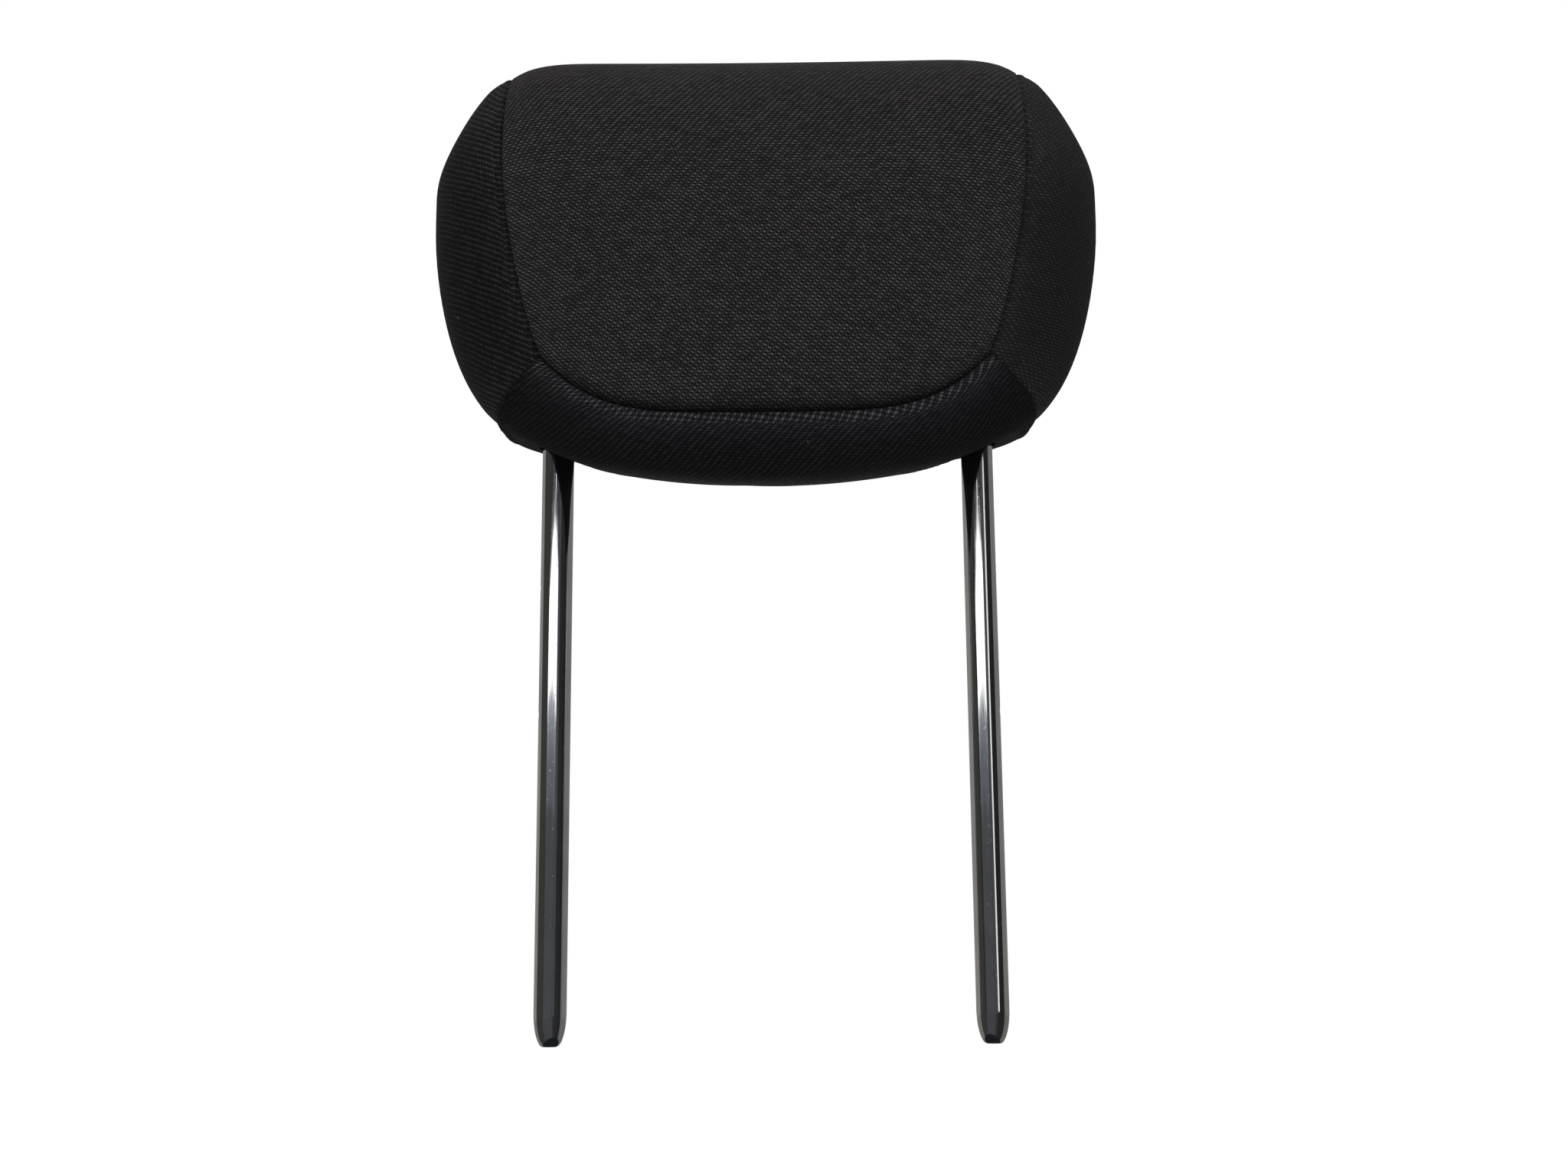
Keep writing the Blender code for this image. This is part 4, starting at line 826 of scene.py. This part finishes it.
def twill(name, turn, light, dark, sheen, ribs, lean, top_lean, length, hand=1):
    """Woven cover: weft floats over two of three warp yarns, each row a third further on to one hand.
    The floats, as long as a share of the repeat, lean by one amount on the face of the cushion and by
    another where it rounds over the top, and ribs join them along the twill line."""
    g = Graph(name)
    uv = g.node("ShaderNodeUVMap", uv_map="cloth").outputs[0]
    spin = g.node("ShaderNodeMapping")
    g.feed(spin.inputs["Vector"], uv)
    spin.inputs["Rotation"].default_value = (0, 0, -turn)
    cloth_x, cloth_y, _ = g.separate(spin.outputs[0])
    waver = g.math("MULTIPLY", g.math("SUBTRACT", g.noise(uv, 110.0, 2.0), 0.5), 0.5)
    across = g.math("ADD", g.math("DIVIDE", cloth_x, WEAVE_REPEAT), waver)
    along = g.math("ADD", g.math("DIVIDE", cloth_y, PICK_PITCH), waver)
    row = g.math("FLOOR", along)
    shifted = g.math("SUBTRACT", across, g.math("DIVIDE", row, 3.0 * hand))
    column = g.math("FLOOR", shifted)
    from_float = g.math("SUBTRACT", g.math("SUBTRACT", shifted, column), 0.5)
    from_row = g.math("SUBTRACT", g.math("SUBTRACT", along, row), 0.5)
    slope = g.spread(g.separate(g.position())[2], *LEAN_HEIGHTS, lean, top_lean)
    leaning = g.math("ADD", from_row, g.math("MULTIPLY", from_float, slope))
    weft = blob(g, from_float, leaning, length, 0.40)
    to_gap = g.math("SUBTRACT", 0.5, g.math("ABSOLUTE", from_float))
    warp = blob(g, to_gap, from_row, 0.17, 0.60)
    cell = g.node("ShaderNodeTexWhiteNoise", noise_dimensions="2D")
    g.feed(cell.inputs["Vector"], g.vector(column, row))
    fibre_place = g.vector(g.math("MULTIPLY", cloth_x, 1500.0), g.math("MULTIPLY", cloth_y, 5200.0))
    fibre = g.noise(fibre_place, 1.0, 2.0, 0.6)
    cloud = g.noise(g.position(), 38.0, 3.0)
    float_tone = g.spread(cell.outputs["Value"], 0, 1, 0.52, 1.48)
    tone = g.math("MULTIPLY", float_tone, g.spread(fibre, 0.3, 0.7, 0.70, 1.30))
    tone = g.math("MULTIPLY", tone, g.spread(cloud, 0.3, 0.7, 0.88, 1.12))
    rise = g.math("DIVIDE", g.math("SUBTRACT", along, 0.5), 3.0 * hand)
    slant = g.math("SUBTRACT", across, rise)
    from_rib = g.math("SUBTRACT", g.math("SUBTRACT", slant, g.math("FLOOR", slant)), 0.5)
    rib = blob(g, from_rib, 0.0, 0.22, 1.0)
    raised = g.math("MAXIMUM", weft, g.math("MULTIPLY", rib, ribs))
    height = g.math("MAXIMUM", raised, g.math("MULTIPLY", warp, 0.32))
    shade = g.math("MULTIPLY", g.math("POWER", height, 1.15), tone, clamp=True)
    warm = g.spread(g.noise(g.position(), 17.0, 2.0), 0.52, 0.72)
    yarn = g.mix(warm, light, tuple(c * k for c, k in zip(light, (1.06, 0.98, 0.92))))
    # Painted light and shade: a factor per point; where it is low the yarn darkens and the cloth goes
    # towards black, as in the seam folds
    seam = g.node("ShaderNodeAttribute", attribute_name="painted_shading").outputs["Fac"]
    lit = g.mix(g.math("MULTIPLY", shade, seam, clamp=True), dark, yarn)
    cloth = g.mix(seam, PAINTED_SHADE_BLACK, lit)
    lint = g.node("ShaderNodeTexVoronoi")
    g.feed(lint.inputs["Vector"], g.position())
    lint.inputs["Scale"].default_value = 75.0
    here_and_there = g.noise(g.position(), 30.0, 0.0)
    speck = g.spread(lint.outputs["Distance"], 0.035, 0.02)
    speck = g.math("MULTIPLY", speck, here_and_there, clamp=True)
    speck = g.math("MULTIPLY", speck, 0.8, clamp=True)
    g.feed(g.shader.inputs["Base Color"], g.mix(speck, cloth, LINT_COLOUR))
    g.shader.inputs["Roughness"].default_value = 0.72
    g.shader.inputs["Specular IOR Level"].default_value = 0.05
    g.shader.inputs["Sheen Weight"].default_value = sheen
    g.shader.inputs["Sheen Roughness"].default_value = 0.45
    g.shader.inputs["Sheen Tint"].default_value = (1.0, 0.93, 0.84, 1.0)
    fine = g.bump(fibre, 0.05 * MM, 0.5)
    g.feed(g.shader.inputs["Normal"], g.bump(height, 0.45 * MM, 1.0, fine))
    return g.material


def chrome():
    """Bright plating: cloudy in its colour, hairlines along the post and specks in its roughness, and
    a slight slow wave in its surface."""
    g = Graph("chrome_plating")
    place = g.position()
    cloud = g.noise(place, 60.0, 4.0, 0.6)
    stretched = [g.math("MULTIPLY", part, scale)
                 for part, scale in zip(g.separate(place), (2600.0, 2600.0, 60.0))]
    hair = g.noise(g.vector(*stretched), 1.0, 3.0, 0.6)
    speck = g.spread(g.noise(place, 900.0, 2.0), 0.66, 0.74)
    colour = g.mix(g.spread(cloud, 0.35, 0.7), (0.60, 0.60, 0.605), (0.52, 0.52, 0.535))
    g.feed(g.shader.inputs["Base Color"], colour)
    g.shader.inputs["Metallic"].default_value = 1.0
    rough = g.math("ADD", g.spread(hair, 0.35, 0.75, 0.04, 0.12), g.math("MULTIPLY", speck, 0.15))
    g.feed(g.shader.inputs["Roughness"], rough)
    g.feed(g.shader.inputs["Normal"], g.bump(g.noise(place, 22.0, 2.0), 0.12 * MM, 0.35))
    return g.material


def moulded(name, colour, roughness):
    """Moulded plastic with a fine spark-eroded grain."""
    g = Graph(name)
    place = g.position()
    cloud = g.noise(place, 45.0, 3.0)
    darker = tuple(c * 0.72 for c in colour)
    g.feed(g.shader.inputs["Base Color"], g.mix(g.spread(cloud, 0.3, 0.7), darker, colour))
    rough = g.spread(cloud, 0.3, 0.7, roughness - 0.06, roughness + 0.08)
    g.feed(g.shader.inputs["Roughness"], rough)
    g.feed(g.shader.inputs["Normal"], g.bump(g.noise(place, 1400.0, 3.0), 0.03 * MM, 0.6))
    return g.material


def foam():
    """Open-celled moulded foam with a skin of small pores, painted darker inside as painted shade."""
    g = Graph("moulded_foam")
    place = g.position()
    cells = g.node("ShaderNodeTexVoronoi")
    g.feed(cells.inputs["Vector"], place)
    cells.inputs["Scale"].default_value = 700.0
    pores = g.spread(cells.outputs["Distance"], 0.1, 0.6)
    cloud = g.noise(place, 30.0, 3.0)
    colour = g.mix(g.spread(cloud, 0.3, 0.7), (0.62, 0.55, 0.36), (0.72, 0.66, 0.46))
    # Painted shade: the pores are darker
    g.feed(g.shader.inputs["Base Color"], g.mix(pores, (0.36, 0.30, 0.17), colour))
    g.shader.inputs["Roughness"].default_value = 0.95
    g.feed(g.shader.inputs["Normal"], g.bump(pores, 0.3 * MM, 0.8))
    return g.material


def zinc():
    """Zinc plate with its mottled spangle."""
    g = Graph("zinc_plate")
    place = g.position()
    spangle = g.noise(place, 420.0, 3.0)
    colour = g.mix(g.spread(spangle, 0.3, 0.7), (0.36, 0.37, 0.39), (0.52, 0.52, 0.50))
    g.feed(g.shader.inputs["Base Color"], colour)
    g.shader.inputs["Metallic"].default_value = 1.0
    g.feed(g.shader.inputs["Roughness"], g.spread(spangle, 0.3, 0.7, 0.28, 0.48))
    return g.material


def dress_cad(material, *names):
    """Give carried-over CAD nodes a procedural material."""
    for name in names:
        mesh = frame["nodes"][name].data
        mesh.materials.clear()
        mesh.materials.append(material)


# Stage

def world(strength):
    """White for camera, glossy and transmission rays, and a dim studio for all others."""
    item = bpy.data.worlds.new("studio")
    bpy.context.scene.world = item
    item.use_nodes = True
    tree = item.node_tree
    plain = tree.nodes["Background"]
    plain.inputs["Color"].default_value = (0.97, 0.98, 1.0, 1.0)
    plain.inputs["Strength"].default_value = strength
    path = tree.nodes.new("ShaderNodeLightPath")
    seen = path.outputs["Is Camera Ray"]
    for kind in ("Is Glossy Ray", "Is Transmission Ray"):
        either = tree.nodes.new("ShaderNodeMath")
        either.operation = "MAXIMUM"
        tree.links.new(seen, either.inputs[0])
        tree.links.new(path.outputs[kind], either.inputs[1])
        seen = either.outputs[0]
    white = tree.nodes.new("ShaderNodeBackground")
    white.inputs["Color"].default_value = (*WHITE, 1.0)
    white.inputs["Strength"].default_value = 1.0
    mix = tree.nodes.new("ShaderNodeMixShader")
    tree.links.new(seen, mix.inputs[0])
    tree.links.new(plain.outputs[0], mix.inputs[1])
    tree.links.new(white.outputs[0], mix.inputs[2])
    target = [n for n in tree.nodes if n.bl_idname == "ShaderNodeOutputWorld"][0]
    tree.links.new(mix.outputs[0], target.inputs["Surface"])


def floor():
    """Pale floor, lit up to white where no shadow falls."""
    bpy.ops.mesh.primitive_plane_add(size=30.0, location=(0, 0, FLOOR_HEIGHT))
    item = bpy.context.active_object
    item.name = "floor"
    g = Graph("floor_white")
    g.shader.inputs["Base Color"].default_value = (0.85, 0.85, 0.85, 1.0)
    g.shader.inputs["Roughness"].default_value = 0.9
    lit = g.node("ShaderNodeEmission")
    lit.inputs["Strength"].default_value = 0.86
    both = g.node("ShaderNodeAddShader")
    g.tree.links.new(g.shader.outputs[0], both.inputs[0])
    g.tree.links.new(lit.outputs[0], both.inputs[1])
    g.tree.links.new(both.outputs[0], g.output())
    item.data.materials.append(g.material)


def area_light(name, place, target, size, power):
    """A soft light that the chrome doesn't mirror."""
    data = bpy.data.lights.new(name, "AREA")
    data.shape = "RECTANGLE"
    data.size, data.size_y = size
    data.energy = power
    item = bpy.data.objects.new(name, data)
    bpy.context.scene.collection.objects.link(item)
    item.location = place
    direction = Vector(target) - item.location
    item.rotation_euler = direction.to_track_quat("-Z", "Y").to_euler()
    item.visible_glossy = item.visible_camera = False


def glow(name, brightness, colour):
    g = Graph(name)
    light = g.node("ShaderNodeEmission")
    light.inputs["Color"].default_value = (*colour, 1.0)
    light.inputs["Strength"].default_value = brightness
    g.tree.links.new(light.outputs[0], g.output())
    return g.material


def card(name, points, brightness, colour):
    """A flat glowing card that only shows in glossy reflections."""
    mesh = bpy.data.meshes.new(name)
    mesh.from_pydata(points, [], [tuple(range(len(points)))])
    item = bpy.data.objects.new(name, mesh)
    bpy.context.scene.collection.objects.link(item)
    mesh.materials.append(glow(name, brightness, colour))
    item.visible_camera = item.visible_diffuse = False
    item.visible_shadow = item.visible_transmission = False


def reflector(name, corners, brightness, colour=WHITE, distance=2.3, x=0.0):
    """A card with its corners at (azimuth, elevation) in degrees, seen from between the posts or from
    the post at x: azimuth 0 is towards the viewer and 90 to the viewer's right."""
    points = []
    for azimuth, elevation in corners:
        az = radians(azimuth)
        way = Vector((sin(az), -cos(az), tan(radians(elevation))))
        points.append(CARDS_CENTRE + Vector((x, 0, 0)) + distance * way)
    card(name, points, brightness, colour)


def band(name, start, end, brightness, ground, colour=WHITE, steps=6):
    """Cards side by side from one azimuth to another, with a piece of ground before each."""
    for i in range(steps):
        a, b = start + (end - start) * i / steps, start + (end - start) * (i + 1) / steps
        corners = [(a, -60), (b, -60), (b, 60), (a, 60)]
        reflector("{}_{}".format(name, i), corners, brightness, colour, distance=2.6)
        ring = [(UNDER_RADIUS, a), (GROUND_RADIUS, a), (GROUND_RADIUS, b), (UNDER_RADIUS, b)]
        points = [(r * sin(radians(way)), -r * cos(radians(way)), GROUND_HEIGHT) for r, way in ring]
        card("{}_ground_{}".format(name, i), points, ground, colour)


def under_dark():
    """Dark ground straight below, which only the post tips reflect."""
    turns = np.linspace(0, TURN, 24, endpoint=False)
    radius = 1.02 * UNDER_RADIUS
    points = [(radius * cos(a), radius * sin(a), GROUND_HEIGHT) for a in turns]
    card("under_dark", points, 0.018, (0.65, 0.80, 1.0))


def camera():
    """The photo's camera, tilted up and slightly rolled and turned."""
    data = bpy.data.cameras.new("camera")
    data.sensor_width = SENSOR_WIDTH
    data.lens = FOCAL_PIXELS / PHOTO_WIDTH * SENSOR_WIDTH
    item = bpy.data.objects.new("camera", data)
    bpy.context.scene.collection.objects.link(item)
    forward = Vector((-sin(CAMERA_YAW) * cos(CAMERA_PITCH),
                      cos(CAMERA_YAW) * cos(CAMERA_PITCH), sin(CAMERA_PITCH)))
    level = Vector((cos(CAMERA_YAW), sin(CAMERA_YAW), 0))
    upright = level.cross(forward)
    right = level * cos(CAMERA_ROLL) - upright * sin(CAMERA_ROLL)
    up = level * sin(CAMERA_ROLL) + upright * cos(CAMERA_ROLL)
    place = LOOK_AT - forward * CAMERA_DISTANCE
    turned = Matrix((right, up, -forward)).transposed().to_4x4()
    item.matrix_world = Matrix.Translation(place) @ turned
    bpy.context.scene.camera = item


bpy.context.scene.view_settings.view_transform = "Standard"
camera()

# The cover: one fabric, cut in another direction for each panel, its colour painted lighter or darker
# for each panel as painted light and shade
centre_panel(twill("twill_centre", 0.0, (0.050, 0.048, 0.0503), (0.0034, 0.0033, 0.0038),
                   sheen=0.04, ribs=0.05, lean=0.95, top_lean=-0.45, length=0.34))
bottom_panel(twill("twill_bottom", radians(-4), (0.0440, 0.0440, 0.0480), (0.0034, 0.0034, 0.0047),
                   sheen=0.01, ribs=0.34, lean=-0.4, top_lean=-0.4, length=0.33))
side_panel("left", -1,
           twill("twill_left", radians(-82), (0.0270, 0.0267, 0.0272), (0.0027, 0.0027, 0.0031),
                 sheen=0.02, ribs=0.75, lean=0.3, top_lean=0.3, length=0.30),
           near_seam=0.50, painted_top_light=0.32)
side_panel("right", 1,
           twill("twill_right", radians(-2), (0.0336, 0.0331, 0.0340), (0.0063, 0.0063, 0.0068),
                 sheen=0.02, ribs=0.0, lean=0.3, top_lean=0.3, length=0.34, hand=-1),
           near_seam=0.50, painted_top_light=0.60)
seam_cords(moulded("seam_thread", (0.008, 0.008, 0.009), 0.9))

rod_frame(chrome())
trim = moulded("bezel_black", (0.016, 0.016, 0.017), 0.45)
bezel("left", -POST_X, trim)
bezel("right", POST_X, trim)

# Inside the cushion
dress_cad(moulded("core_black", (0.040, 0.041, 0.043), 0.5), "core_rear_shell", "core_front_shell")
dress_cad(moulded("strip_black", (0.045, 0.045, 0.046), 0.42),
          "closing_strip_lower", "closing_strip_upper")
dress_cad(foam(), "foam_pad")
dress_cad(zinc(), "bar_clamp_left", "bar_clamp_right",
          *[kind + "_screw_%d" % i for kind in ("core", "clamp") for i in range(1, 5)])

world(0.10)
floor()
area_light("key", (-0.15, -1.75, 1.25), (0, 0, 0.28), (1.3, 0.9), 42)

# Surroundings that the chrome shows: a bright window over a dim room, a lit edge beside the right
# post, and a dark card beside the left one that keeps that edge from it
band("rim_left", -172, -100, 0.33, 0.25, (1.0, 0.99, 0.95))
band("olive_left", -100, -50, 0.062, 0.055, (1.0, 0.98, 0.84))
band("room_front", -50, 18, 0.05, 0.09, (0.88, 0.94, 1.0))
band("room_right", 18, 35, 0.10, 0.05, (0.90, 0.96, 1.0), 2)
band("dark_right", 35, 84, 0.024, 0.024)
band("rim_right", 84, 172, 0.25, 0.20, (1.0, 0.99, 0.96))
reflector("window", [(-46, 6.5), (16, 6.5), (16, 12.5), (-14, 14.5), (-46, 11)], 2.2)
reflector("window_upper", [(-9, 14.6), (8, 26), (-22, 26)], 1.8)
reflector("sill", [(-46, 4.6), (16, 4.6), (16, 6.5), (-46, 6.5)], 0.30, (0.84, 0.93, 1.0))
reflector("sill_low", [(-46, 2.6), (16, 2.6), (16, 4.6), (-46, 4.6)], 0.19, (0.84, 0.93, 1.0))
reflector("table", [(-46, -10), (16, -10), (16, 2.6), (-46, 2.6)], 0.105, (0.88, 0.94, 1.0))
reflector("edge_light", [(33, -15), (43, -15), (43, 22), (33, 22)], 1.3, distance=0.6, x=POST_X)
reflector("edge_flag", [(34, -60), (62, -60), (62, 50), (34, 50)], 0.03, distance=0.1, x=-POST_X)
under_dark()
